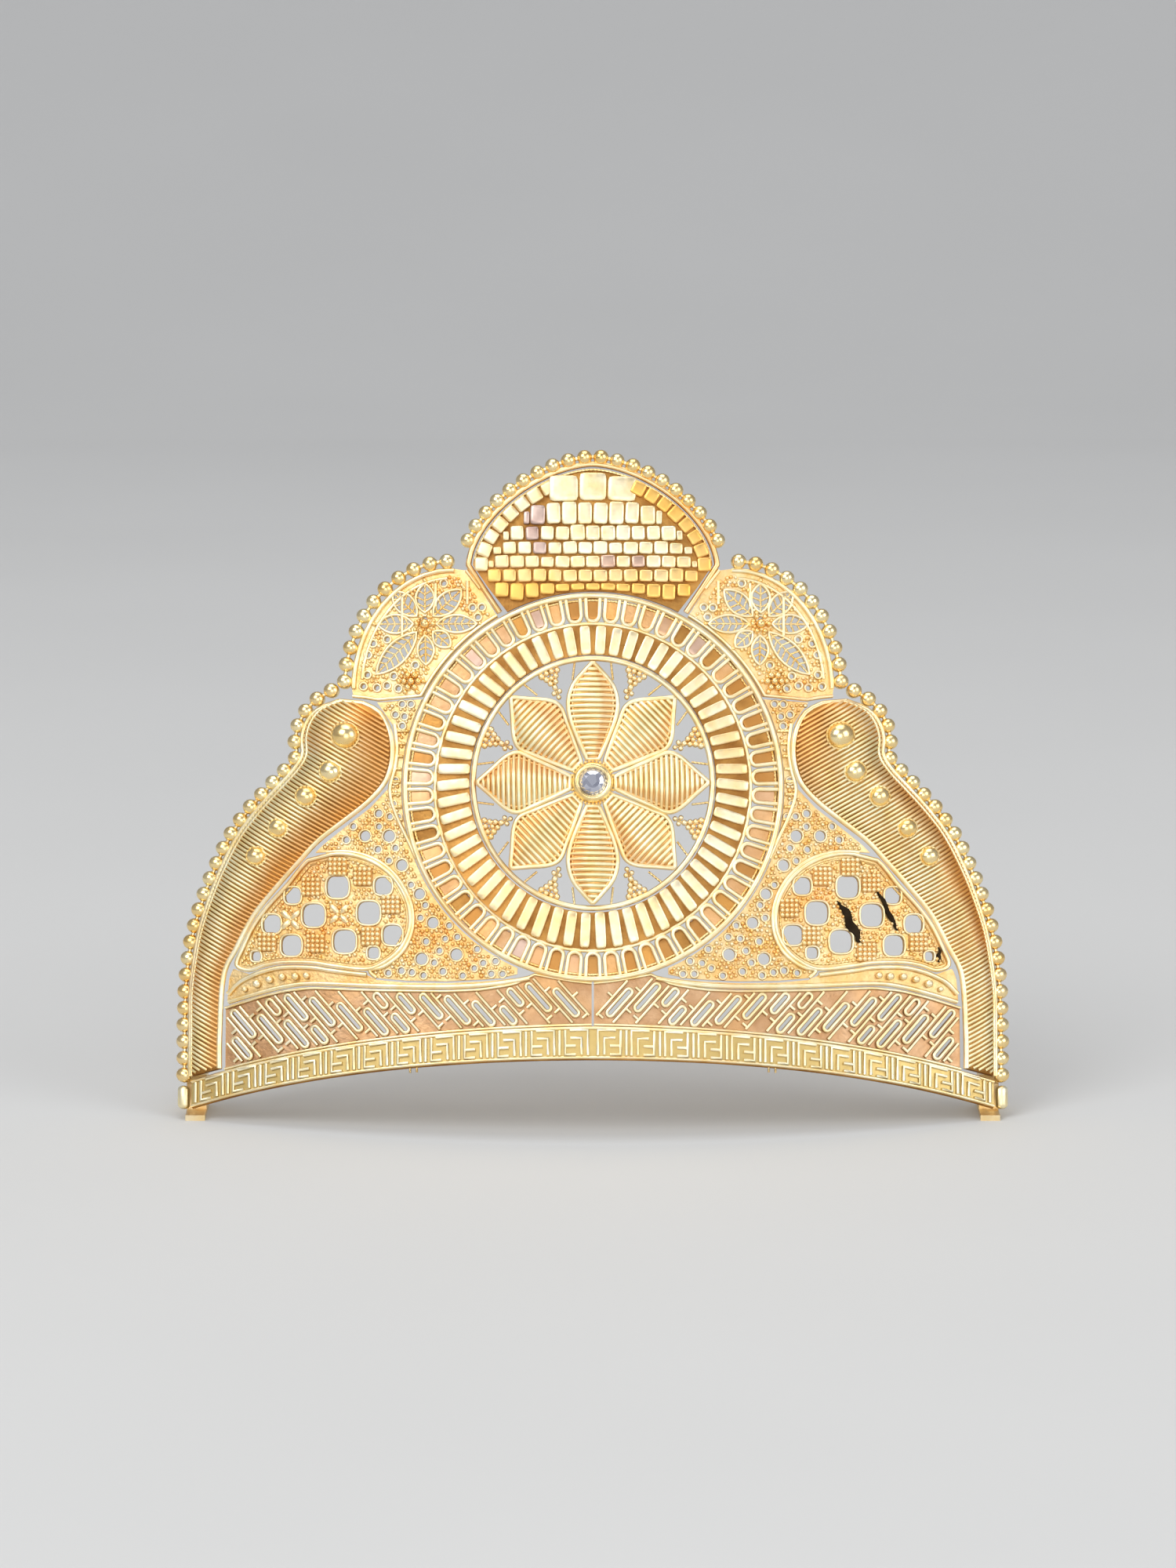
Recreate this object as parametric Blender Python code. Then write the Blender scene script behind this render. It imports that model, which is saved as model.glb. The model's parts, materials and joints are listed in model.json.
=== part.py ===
"""A bridal crown of gold filigree that stands on its two ends and leans back.

Every piece is drawn in the front view, in millimetres: across from the middle and up from the floor.
The drawing is laid on an upright cylinder, and the whole crown then leans back about its two ends.
Pieces of the right half are drawn once and mirrored for the left half.
"""

import math

import bmesh
import bpy
from mathutils import Vector
from mathutils.geometry import delaunay_2d_cdt

MM = 0.001

# The whole crown
HALF_WIDTH = 75.0
BEND_RADIUS = 150.0
LEAN = math.radians(19.0)
VIEW_DIP = math.radians(9.0)
GAP = 0.3
WIRE = 0.45

# Bead rows
BEAD_RADIUS = 1.15
BEAD_PITCH = 3.0
BEAD_SIDES = 10
BEAD_NECK = 0.38
BEAD_OFFSET = 1.75

# Medallion: the radii are across and up
MEDALLION_UP = 59.4
OUTER_RING = (33.4, 34.1)
TIER_EDGE = (28.1, 29.1)
INNER_RING_UP = 60.0
INNER_RING = (21.2, 22.2)
RING_SEGMENTS = 40
CELLS = 29
PETALS = 8
STONE_RADIUS = 2.15

# Crest panel: an arch that is fuller than a gable and leaner than an ellipse
CREST_FOOT_UP = 99.0
CREST_HALF = 22.2
CREST_RISE = 18.2
CREST_POWER = 1.68
CREST_LEG = ((16.6, 90.5), (19.6, 95.0))
CREST_FIELD_SIDE = (18.6, 94.9)
CREST_FIELD_FOOT = (116.5, 63.5)
CREST_BEADS_FROM = 103.3
SLAT_MARGIN = 0.3

# Shoulder: a quarter of an ellipse
SHOULDER_CENTRE = (25.4, 76.6)
SHOULDER_RADII = (17.4, 21.5)
STAR_CENTRE = (30.0, 88.5)
SHOULDER_FOOT = ((42.6, 75.9), (38.2, 75.0))
SHOULDER_CREST_SIDE = ((20.4, 94.9), (22.8, 98.1))
SHOULDER_RING_SIDE = (27.5, 57.0)
CORNER_GAP = ((34.6, 76.4), 90.0, 0.4, 4.6, 0.9)

# Band at the bottom
EDGE_UP = 11.3
EDGE_FALL = 0.00143
EDGE_CURL = 7.7e-8
KEY_HEIGHT = (5.7, 4.8)
KEY_END = 71.8
KEYS_A_SIDE = 12
LATTICE_SLOTS = 14
SLOT_LEAN = 4.2
SLOT_WIDTH = 1.8

END_ROLL_ACROSS = 73.4
END_ROLL = ((1.6, 0.55), (2.1, 1.0), (5.2, 1.0), (5.7, 0.55))

# Depths in front of the crown's middle surface
PLATE_BACK = -0.45
PLATE_FRONT = 0.45
WIRE_FRONT = 0.8
PANEL_FRONT = 0.6
RING_DEPTHS = (-0.6, 1.0)
PETAL_EDGE = 0.9
PETAL_RIDGE = 0.22

# Feet behind the two ends, which a ribbon is tied to
FOOT_ACROSS = (69.5, 73.0)
FOOT_DEPTH = (-2.6, 10.4)
SOLE = 1.0
EYELET_PLATE = 7.8
EYELET_CORNER = 1.4
EYELET_UP = 4.2
EYELET_RADIUS = 1.5

# Tables of places in the front view: across from the middle, up from the floor
BEAD_HEAD = ((47.4, 76.6), (50.6, 74.6), (52.9, 71.6), (53.9, 68.2), (53.7, 64.9))
BEAD_ARM = (
    (55.2, 62.9), (57.9, 60.1), (61.9, 55.8), (65.3, 51.2), (68.2, 45.4),
    (70.6, 39.3), (72.4, 33.2), (73.4, 27.0), (73.8, 20.0), (73.8, 7.6),
)
RAIL_LOW = (
    (11.2, 25.5), (14.2, 24.9), (20.0, 24.2), (26.0, 23.9), (33.0, 23.9), (39.2, 24.0),
    (50.0, 24.3), (55.0, 23.7), (60.0, 22.4), (65.2, 20.8),
)
RAIL_HIGH = (
    (40.2, 25.9), (46.5, 26.6), (50.0, 27.1), (55.2, 27.1), (58.6, 26.4),
    (61.0, 25.5), (63.4, 24.2), (65.3, 22.2),
)
# Arm, from its head to its foot: outer edge, inner edge, and rise of the dome between them
ARM = (
    # outer across, outer up, inner across, inner up, rise
    (45.2, 74.6, 41.0, 74.2, 0.6),
    (48.9, 73.2, 38.0, 72.6, 1.7),
    (51.0, 71.0, 36.3, 69.6, 2.5),
    (51.9, 68.2, 35.7, 66.2, 2.9),
    (51.8, 65.0, 36.0, 62.9, 3.0),
    (53.6, 62.1, 37.2, 59.8, 2.8),
    (56.5, 59.0, 40.2, 56.5, 2.5),
    (60.2, 54.9, 44.4, 53.2, 2.2),
    (63.4, 50.6, 48.9, 49.7, 2.0),
    (66.2, 45.2, 52.7, 45.6, 1.8),
    (68.3, 40.0, 56.6, 41.2, 1.6),
    (70.3, 33.6, 60.6, 36.2, 1.4),
    (71.3, 28.0, 63.6, 30.5, 1.1),
    (71.9, 22.0, 66.0, 25.3, 0.9),
    (71.9, 15.0, 66.6, 15.0, 0.8),
    (71.9, 7.4, 66.6, 8.9, 0.8),
)
ARM_DOMES = (
    # across, up, radius
    (43.2, 68.0, 2.3),
    (45.8, 61.6, 1.8),
    (50.2, 57.2, 1.7),
    (55.3, 51.6, 1.6),
    (59.3, 46.6, 1.6),
)
SIDE_PANEL = (
    (50.8, 46.2), (54.6, 41.7), (58.1, 37.9), (60.6, 34.5), (62.7, 30.2), (63.7, 27.4), (61.4, 26.5),
    (58.6, 27.4), (55.2, 28.0), (50.0, 28.0), (46.5, 27.5), (40.6, 26.9), (37.4, 27.9), (34.4, 30.3),
    (32.7, 33.5), (32.5, 37.0), (33.5, 40.3), (35.7, 43.5), (39.2, 46.0), (43.5, 47.3), (47.4, 47.2),
)
SIDE_HOLES = (
    # across, up, radius
    (45.5, 41.5, 1.8),
    (36.9, 42.0, 1.6),
    (49.8, 36.4, 1.8),
    (39.9, 36.9, 1.8),
    (53.5, 39.9, 1.5),
    (57.4, 34.8, 1.6),
    (53.8, 31.6, 1.6),
    (44.2, 31.8, 1.7),
    (35.4, 33.4, 1.5),
    (60.2, 29.4, 1.2),
    (39.0, 30.3, 1.2),
)
SPANDREL_ARM_SIDE = (
    (37.9, 73.0), (35.5, 70.0), (34.8, 66.4), (35.2, 62.6), (36.6, 59.0), (39.8, 55.6), (44.2, 52.2),
    (48.2, 49.0), (49.6, 47.6),
)
SPANDREL_PANEL_SIDE = (
    (47.5, 47.7), (43.4, 47.8), (38.9, 46.5), (35.3, 43.9), (33.0, 40.5), (32.0, 37.1), (32.2, 33.3),
    (33.9, 29.9), (37.1, 27.4), (39.6, 26.7), (38.4, 25.4),
)
SPANDREL_HOLES = (
    # across, up, radius
    (40.6, 50.6, 1.0),
    (36.3, 50.6, 1.1),
    (34.0, 45.4, 1.1),
    (30.8, 40.3, 1.1),
    (28.4, 35.2, 1.2),
    (24.2, 29.6, 1.2),
    (30.4, 28.8, 1.2),
)
LATTICE_TOP = (
    (0.2, 24.3), (5.0, 24.5), (10.3, 24.5), (14.2, 24.1), (20.0, 23.4), (26.0, 23.1), (33.0, 23.15),
    (40.0, 23.2), (50.0, 23.5), (55.0, 22.9), (60.0, 21.6), (65.2, 19.9),
)
STAR_GAPS = (
    # direction in degrees, inner end, outer end, half width
    (0.0, 2.2, 8.2, 1.5),
    (45.0, 2.2, 7.8, 1.5),
    (90.0, 2.2, 6.9, 1.5),
    (137.0, 2.2, 8.8, 1.6),
    (180.0, 2.2, 9.4, 1.5),
    (222.0, 2.2, 5.9, 1.2),
    (268.0, 2.2, 9.0, 1.5),
    (314.0, 2.2, 12.6, 1.8),
)
CREST_ROWS = (
    # lower edge, upper edge, pitch, slat width
    (110.9, 115.2, 4.3, 3.7),
    (107.0, 110.3, 3.7, 3.1),
    (103.0, 106.4, 3.5, 2.9),
    (99.0, 102.4, 3.4, 2.8),
    (95.4, 98.4, 3.3, 2.7),
)
BROAD_PETAL = (
    # distance from the middle of the flower, half width
    (4.0, 1.1),
    (7.0, 2.5),
    (10.5, 4.0),
    (13.2, 5.1),
    (15.4, 4.4),
    (18.0, 2.2),
    (20.3, 0.25),
)
SLIM_PETAL = (
    # distance from the middle of the flower, half width
    (4.0, 1.1),
    (7.0, 2.2),
    (10.5, 3.4),
    (14.0, 3.9),
    (16.5, 3.4),
    (18.7, 1.7),
    (20.3, 0.25),
)
BEZEL_PROFILE = (
    # radius, depth
    (2.4, 0.3),
    (3.5, 0.3),
    (3.3, 1.9),
    (2.4, 2.3),
)
STONE_FACETS = (
    # share of the stone's radius, depth
    (0.35, 0.5),
    (1.0, 1.7),
    (1.0, 2.0),
    (0.55, 2.9),
)
ARM_SECTION = ((0.0, 0.0), (0.1, 0.45), (0.3, 0.86), (0.5, 1.0), (0.7, 0.86), (0.9, 0.45), (1.0, 0.0))
DOME_SECTION = ((1.0, 0.0), (0.85, 0.5), (0.35, 0.9))
RAIL_BEADS = ((53.0, 25.5, 0.7), (55.4, 25.4, 0.7), (57.7, 24.9, 0.7), (60.0, 24.1, 0.7))
RAIL_GAP = (43.0, 50.5)
SPANDREL_FOOT = ((33.0, 24.95), (26.0, 24.9), (20.0, 25.2), (17.2, 26.6))
SPANDREL_RING_SIDE = (-62.0, 25.0)
HOOK = ((0.10, 0.14), (0.10, 0.86), (0.86, 0.86), (0.86, 0.34), (0.42, 0.34), (0.42, 0.60))
HOOK_HALF = 0.075

FINISHES = {
    # red, green, blue, metallic, roughness
    "polished_gold": (0.93, 0.72, 0.36, 1.0, 0.22),
    "filigree_gold": (0.86, 0.62, 0.30, 1.0, 0.38),
    "pale_gold": (0.90, 0.80, 0.60, 1.0, 0.35),
    "ribbed_gold": (0.88, 0.66, 0.34, 1.0, 0.34),
    "key_gold": (0.90, 0.70, 0.40, 1.0, 0.32),
    "grey_stone": (0.55, 0.58, 0.60, 0.0, 0.06),
}


def clear_scene():
    for item in list(bpy.data.objects):
        bpy.data.objects.remove(item, do_unlink=True)


def finish_of(name, finish):
    """A material of one sub-part."""
    red, green, blue, metallic, roughness = FINISHES[finish]
    material = bpy.data.materials.new(f"{name}_{finish}")
    material.use_nodes = True
    shader = material.node_tree.nodes["Principled BSDF"]
    shader.inputs["Base Color"].default_value = (red, green, blue, 1.0)
    shader.inputs["Metallic"].default_value = metallic
    shader.inputs["Roughness"].default_value = roughness
    return material


def forward_at(across):
    """How far the bent crown stands in front of the line through its ends."""
    return math.sqrt(BEND_RADIUS**2 - across**2) - math.sqrt(BEND_RADIUS**2 - HALF_WIDTH**2)


def lay(across, up, out=0.0):
    """The point of the bent, upright crown that a point of the front view stands for."""
    turn = math.asin(across / BEND_RADIUS)
    forward = forward_at(across)
    height = (up - forward * math.sin(VIEW_DIP)) / math.cos(VIEW_DIP)
    return Vector((across + out * math.sin(turn), -forward - out * math.cos(turn), height)) * MM


def upright(depth, up, across):
    """A point of a piece that is drawn from the side and stands straight on the floor."""
    return Vector((across, depth, up)) * MM


def mirror(loop, side):
    return [(side * across, up) for across, up in loop]


def signed_area(loop):
    ahead = loop[1:] + loop[:1]
    return 0.5 * sum(x0 * y1 - x1 * y0 for (x0, y0), (x1, y1) in zip(loop, ahead))


def anticlockwise(loop):
    loop = list(loop)
    return loop if signed_area(loop) > 0 else loop[::-1]


def within(x, y, loop):
    """Whether a point lies inside a closed loop."""
    inside = False
    for (x0, y0), (x1, y1) in zip(loop, loop[1:] + loop[:1]):
        if (y0 > y) != (y1 > y) and x < x0 + (y - y0) * (x1 - x0) / (y1 - y0):
            inside = not inside
    return inside


def ellipse(centre, radii, start=0.0, end=360.0, count=RING_SEGMENTS):
    """Points along an ellipse, in degrees from the right; a whole turn leaves out the repeated last point."""
    steps = count if abs(end - start) >= 360.0 else count - 1
    angles = [math.radians(start + (end - start) * i / steps) for i in range(count)]
    return [(centre[0] + radii[0] * math.cos(a), centre[1] + radii[1] * math.sin(a)) for a in angles]


def arch(shrink=0.0, count=25):
    """The crest's arch from its right foot over the top to its left foot."""
    half, rise = CREST_HALF - shrink, CREST_RISE - shrink
    power = 2.0 / CREST_POWER
    points = []
    for i in range(count):
        angle = math.pi * i / (count - 1)
        across = math.copysign(abs(math.cos(angle)) ** power, math.cos(angle))
        points.append((half * across, CREST_FOOT_UP + rise * math.sin(angle) ** power))
    return points


def smooth(points, steps):
    """A curve through the points of a table, with `steps` stretches between each two."""
    padded = [points[0], *points, points[-1]]
    curve = []
    for a, b, c, d in zip(padded, padded[1:], padded[2:], padded[3:]):
        for i in range(steps):
            t = i / steps
            curve.append(
                tuple(
                    0.5 * (2 * q + (r - p) * t + (2 * p - 5 * q + 4 * r - s) * t * t
                           + (3 * q - p - 3 * r + s) * t**3)
                    for p, q, r, s in zip(a, b, c, d)
                )
            )
    return curve + [tuple(points[-1])]


def offset(path, distance):
    """The open path moved sideways, to its left where the distance is positive."""
    moved = []
    for i, (x, y) in enumerate(path):
        before, after = path[max(i - 1, 0)], path[min(i + 1, len(path) - 1)]
        along = Vector((after[0] - before[0], after[1] - before[1])).normalized()
        moved.append((x - along.y * distance, y + along.x * distance))
    return moved


def strip(path, half):
    """The outline of a wire that follows an open path."""
    return offset(path, half) + offset(path, -half)[::-1]


def mitred(path, half):
    """The outline of a flat bar that follows square corners."""
    left, right = [], []
    for i, point in enumerate(path):
        here = Vector(point)
        before = (here - Vector(path[i - 1])).normalized() if i else None
        after = (Vector(path[i + 1]) - here).normalized() if i + 1 < len(path) else None
        first, second = before or after, after or before
        normal = Vector((-first.y - second.y, first.x + second.x)) * 0.5
        normal /= normal.length_squared
        left.append(tuple(here + normal * half))
        right.append(tuple(here - normal * half))
    return left + right[::-1]


def round_hole(across, up, radius, sides=6):
    return ellipse((across, up), (radius, radius), 0.0, 360.0, sides)


def box_loop(middle, width, low, high, margin=0.0):
    """An upright oblong, grown by a margin on every side."""
    left, right = middle - width / 2 - margin, middle + width / 2 + margin
    return [(left, low - margin), (right, low - margin), (right, high + margin), (left, high + margin)]


def kite(centre, degrees, inner, outer, half):
    """A pointed gap that runs away from the centre of a star."""
    angle = math.radians(degrees)
    along = Vector((math.cos(angle), math.sin(angle)))
    beside = Vector((-along.y, along.x))
    middle = inner + 0.45 * (outer - inner)
    places = ((inner, 0.0), (middle, -half), (outer, 0.0), (middle, half))
    return [tuple(Vector(centre) + along * a + beside * b) for a, b in places]


def object_of(name, mesh, finish, parent):
    """Makes the closed mesh an object with its own material."""
    bmesh.ops.recalc_face_normals(mesh, faces=mesh.faces)
    data = bpy.data.meshes.new(name)
    mesh.to_mesh(data)
    mesh.free()
    data.materials.append(finish_of(name, finish))
    item = bpy.data.objects.new(name, data)
    item.parent = parent
    bpy.context.scene.collection.objects.link(item)
    return item


def cover(mesh, layers, loops, outline, left_out):
    """Fills the outline with triangles, apart from the loops that are left out."""
    corners = [vertex for layer in layers for vertex in layer]
    places = [place for loop in loops for place in loop]
    edges, first = [], 0
    for loop in loops:
        edges += [(first + i, first + (i + 1) % len(loop)) for i in range(len(loop))]
        first += len(loop)
    _, _, faces, origins, _, _ = delaunay_2d_cdt([Vector(p) for p in places], edges, [], 0, 1e-6)
    for face in faces:
        picks = [origins[i][0] for i in face]
        x = sum(places[i][0] for i in picks) / 3
        y = sum(places[i][1] for i in picks) / 3
        if within(x, y, outline) and not any(within(x, y, loop) for loop in left_out):
            mesh.faces.new([corners[i] for i in picks])


def wall(mesh, lower, upper):
    """Joins two closed loops of vertices."""
    for i in range(len(lower)):
        j = (i + 1) % len(lower)
        mesh.faces.new((lower[i], lower[j], upper[j], upper[i]))


def plate(name, finish, parent, outline, holes=(), bosses=(), back=PLATE_BACK, front=PLATE_FRONT,
          top=0.9, place=lay):
    """A plate with its outline, holes cut through it, and flat bosses raised on its front."""
    outline = anticlockwise(outline)
    holes = [anticlockwise(hole) for hole in holes]
    bosses = [anticlockwise(boss) for boss in bosses]
    mesh = bmesh.new()

    def layer(loops, out):
        return [[mesh.verts.new(place(a, b, out)) for a, b in loop] for loop in loops]

    cut = [outline, *holes]
    behind, before, raised = layer(cut, back), layer(cut + bosses, front), layer(bosses, top)
    cover(mesh, behind, cut, outline, holes)
    cover(mesh, before, cut + bosses, outline, holes + bosses)
    for boss, vertices in zip(bosses, raised):
        cover(mesh, [vertices], [boss], boss, ())
    for lower, upper in zip(behind + before[len(cut) :], before[: len(cut)] + raised):
        wall(mesh, lower, upper)
    return object_of(name, mesh, finish, parent)


def loft(name, finish, parent, sections, closed=False):
    """A skin over sections with the same number of points, with flat ends unless it closes on itself."""
    mesh = bmesh.new()
    rings = [[mesh.verts.new(point) for point in section] for section in sections]
    for first, second in zip(rings, rings[1:]):
        wall(mesh, first, second)
    if closed:
        wall(mesh, rings[-1], rings[0])
    else:
        mesh.faces.new(rings[0])
        mesh.faces.new(rings[-1])
    return object_of(name, mesh, finish, parent)


def ring_round(centre, along, outward, radius, sides=BEAD_SIDES):
    """A round section across a route."""
    beside = along.cross(outward).normalized()
    outward = beside.cross(along).normalized()
    angles = [2 * math.pi * i / sides for i in range(sides)]
    return [centre + (outward * math.cos(a) + beside * math.sin(a)) * radius * MM for a in angles]


def bead_row(name, parent, route):
    """Beads fused side by side along a route, a waist between each two."""
    points = [lay(across, up) for across, up in route]
    outwards = [(lay(across, up, 1.0) - lay(across, up)).normalized() for across, up in route]
    lengths = [0.0]
    for first, second in zip(points, points[1:]):
        lengths.append(lengths[-1] + (second - first).length / MM)
    count = round(lengths[-1] / BEAD_PITCH)
    pitch = lengths[-1] / count

    def at(distance):
        i = max(k for k in range(len(points) - 1) if lengths[k] <= distance + 1e-6)
        share = (distance - lengths[i]) / (lengths[i + 1] - lengths[i])
        return points[i].lerp(points[i + 1], share), outwards[i].lerp(outwards[i + 1], share)

    stations = []
    for bead in range(count + 1):
        middle = bead * pitch
        if bead:
            stations.append((middle - pitch / 2, BEAD_NECK * BEAD_RADIUS))
        stations += [(middle + shift * BEAD_RADIUS, 0.96 * BEAD_RADIUS) for shift in (-0.42, 0.42)]
    last = lengths[-1]
    ends = ((-0.9 * BEAD_RADIUS, 0.4 * BEAD_RADIUS), (last + 0.9 * BEAD_RADIUS, 0.4 * BEAD_RADIUS))
    sections = []
    for distance, radius in [ends[0], *stations, ends[1]]:
        held = min(max(distance, 0.0), last)
        start, finish = at(max(held - 0.5, 0.0))[0], at(min(held + 0.5, last))[0]
        along = (finish - start).normalized()
        centre, outward = at(held)
        centre = centre + along * (distance - held) * MM
        sections.append(ring_round(centre, along, outward, radius))
    return loft(name, "polished_gold", parent, sections)


def make_bead_rows(parent):
    """The rows round the crest, each shoulder and each arm."""
    crest = arch(shrink=-BEAD_OFFSET, count=49)
    bead_row("crest_beads", parent, [p for p in crest if p[1] > CREST_BEADS_FROM])
    radii = [radius + BEAD_OFFSET + 0.2 for radius in SHOULDER_RADII]
    for word, side in (("right", 1), ("left", -1)):
        shoulder = ellipse(SHOULDER_CENTRE, radii, 88.0, 4.0, 24)
        bead_row(f"shoulder_beads_{word}", parent, mirror(shoulder, side))
        bead_row(f"arm_beads_{word}", parent, mirror(smooth(BEAD_HEAD + BEAD_ARM, 3), side))


def make_crest(parent):
    """The wire frame of the crest and its field of upright slats."""
    path = [*CREST_LEG, *arch(), *mirror(CREST_LEG, -1)[::-1]]
    plate("crest_frame", "filigree_gold", parent, strip(path, WIRE), front=WIRE_FRONT)
    inner = WIRE + GAP + 0.05
    ring = (OUTER_RING[0] + inner, OUTER_RING[1] + inner)
    foot = ellipse((0.0, MEDALLION_UP), ring, *CREST_FIELD_FOOT, 13)
    outline = arch(inner, 19) + mirror([CREST_FIELD_SIDE], -1) + foot + [CREST_FIELD_SIDE]
    bosses = []
    for row, (low, high, pitch, width) in enumerate(CREST_ROWS):
        for column in range(-7, 8):
            middle = (column + 0.5 * (row % 2)) * pitch
            if all(within(x, up, outline) for x, up in box_loop(middle, width, low, high, SLAT_MARGIN)):
                bosses.append(box_loop(middle, width, low, high))
    plate("crest_field", "pale_gold", parent, outline, bosses=bosses, front=0.4, top=1.1)


def make_shoulders(parent):
    """The pierced panel between the crest, the medallion and the arm's head."""
    rim = (SHOULDER_RADII[0] + WIRE, SHOULDER_RADII[1] + WIRE)
    clear = WIRE + GAP + 0.05
    outer = ellipse(SHOULDER_CENTRE, rim, 92.0, 1.0, 16)
    ring_radii = (OUTER_RING[0] + clear, OUTER_RING[1] + clear)
    ring = ellipse((0.0, MEDALLION_UP), ring_radii, *SHOULDER_RING_SIDE, 10)
    outline = [*outer, *SHOULDER_FOOT, *ring, *SHOULDER_CREST_SIDE]
    holes = [kite(STAR_CENTRE, *row) for row in STAR_GAPS] + [kite(*CORNER_GAP)]
    for word, side in (("right", 1), ("left", -1)):
        gaps = [mirror(hole, side) for hole in holes]
        name = f"shoulder_panel_{word}"
        plate(name, "filigree_gold", parent, mirror(outline, side), gaps, front=PANEL_FRONT)


def make_arms(parent):
    """The domed, comma-shaped arms with their polished half balls."""
    for word, side in (("right", 1), ("left", -1)):
        sections = []
        for outer_x, outer_up, inner_x, inner_up, rise in ARM:
            front = []
            for share, swell in ARM_SECTION:
                across = side * (outer_x + (inner_x - outer_x) * share)
                up = outer_up + (inner_up - outer_up) * share
                front.append(lay(across, up, PANEL_FRONT + rise * swell))
            back = [lay(side * inner_x, inner_up, PLATE_BACK), lay(side * outer_x, outer_up, PLATE_BACK)]
            sections.append(front + back)
        loft(f"arm_{word}", "ribbed_gold", parent, sections)
        for number, (across, up, radius) in enumerate(ARM_DOMES, 1):
            seat = PANEL_FRONT + arm_rise(across, up) + GAP
            sections = []
            for wide, high in DOME_SECTION:
                loop = round_hole(side * across, up, wide * radius, BEAD_SIDES)
                sections.append([lay(x, y, seat + high * radius) for x, y in loop])
            loft(f"arm_dome_{word}_{number}", "polished_gold", parent, sections)


def arm_rise(across, up):
    """The rise of the arm's dome at the section nearest to a place."""

    def distance(row):
        return math.hypot(0.5 * (row[0] + row[2]) - across, 0.5 * (row[1] + row[3]) - up)

    return min(ARM, key=distance)[4]


def make_medallion(parent):
    """Two rings, and between them two tiers of spokes."""
    centre, inner_centre = (0.0, MEDALLION_UP), (0.0, INNER_RING_UP)

    def ring(name, middle, radii):
        hole = ellipse(middle, (radii[0] - WIRE, radii[1] - WIRE))
        outline = ellipse(middle, (radii[0] + WIRE, radii[1] + WIRE))
        back, front = RING_DEPTHS
        plate(name, "filigree_gold", parent, outline, [hole], back=back, front=front)

    ring("medallion_outer_ring", centre, OUTER_RING)
    ring("medallion_inner_ring", inner_centre, INNER_RING)
    clear = WIRE + GAP

    def tier_loop(radii, middle, shrink):
        return ellipse(middle, (radii[0] + shrink, radii[1] + shrink), 0.0, 360.0, CELLS)

    outer, edge = tier_loop(OUTER_RING, centre, -clear), tier_loop(TIER_EDGE, centre, GAP / 2)
    gaps = cell_loops(centre, OUTER_RING, -clear - 0.7, TIER_EDGE, GAP / 2 + 0.8, 0.52)
    plate("medallion_outer_tier", "filigree_gold", parent, outer, [edge, *gaps], front=0.4)
    inner, edge = tier_loop(INNER_RING, inner_centre, clear), tier_loop(TIER_EDGE, centre, -GAP / 2)
    bars = cell_loops(centre, TIER_EDGE, -GAP / 2 - 0.5, INNER_RING, clear + 1.4, 0.60)
    plate("medallion_inner_tier", "pale_gold", parent, edge, [inner], bars, front=0.3, top=0.8)


def cell_loops(centre, outer, outer_shift, inner, inner_shift, share):
    """One four-sided cell for each step of a tier, as wide as its share of the step."""
    loops = []
    for cell in range(CELLS):
        middle, half = (cell + 0.5) * 360.0 / CELLS, 0.5 * share * 360.0 / CELLS
        far = (outer[0] + outer_shift, outer[1] + outer_shift)
        near = (inner[0] + inner_shift, inner[1] + inner_shift)
        loop = ellipse(centre, far, middle - half, middle + half, 2)
        loops.append(loop + ellipse(centre, near, middle + half, middle - half, 2))
    return loops


def make_flower(parent):
    """Eight ridged petals, the bezel and its stone."""
    stretch = INNER_RING[1] / INNER_RING[0]
    for petal in range(PETALS):
        angle = 2 * math.pi * petal / PETALS
        along = Vector((math.sin(angle), math.cos(angle)))
        beside = Vector((math.cos(angle), -math.sin(angle)))
        sections = []
        for distance, half in SLIM_PETAL if petal % (PETALS // 2) == 0 else BROAD_PETAL:
            ridge = PETAL_EDGE + PETAL_RIDGE * half
            places = ((-half, PETAL_EDGE), (0.0, ridge), (half, PETAL_EDGE), (half, 0.0), (-half, 0.0))
            spots = [(along * distance + beside * shift, out) for shift, out in places]
            sections.append([lay(spot.x, INNER_RING_UP + stretch * spot.y, out) for spot, out in spots])
        loft(f"petal_{petal + 1}", "filigree_gold", parent, sections)
    bezel = [circle_laid(radius, out, 16) for radius, out in BEZEL_PROFILE]
    loft("flower_bezel", "polished_gold", parent, list(zip(*bezel)), closed=True)
    stone = [circle_laid(share * STONE_RADIUS, out, 12) for share, out in STONE_FACETS]
    loft("centre_stone", "grey_stone", parent, stone)


def circle_laid(radius, out, sides):
    """A circle round the middle of the flower."""
    return [lay(x, y, out) for x, y in round_hole(0.0, INNER_RING_UP, radius, sides)]


def make_side_panels(parent):
    """The pierced leaf-shaped panels low on each side, and the fill round the medallion."""
    clear = WIRE + GAP + 0.05
    ring_radii = (OUTER_RING[0] + clear, OUTER_RING[1] + clear)
    ring_side = ellipse((0.0, MEDALLION_UP), ring_radii, *SPANDREL_RING_SIDE, 22)
    spandrel = [*SPANDREL_ARM_SIDE, *SPANDREL_PANEL_SIDE, *SPANDREL_FOOT, *ring_side]
    for word, side in (("right", 1), ("left", -1)):
        holes = [mirror(round_hole(*row), side) for row in SIDE_HOLES]
        name = f"side_panel_{word}"
        plate(name, "filigree_gold", parent, mirror(SIDE_PANEL, side), holes, front=PANEL_FRONT)
        holes = [mirror(round_hole(*row), side) for row in SPANDREL_HOLES]
        plate(f"spandrel_{word}", "filigree_gold", parent, mirror(spandrel, side), holes)


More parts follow.
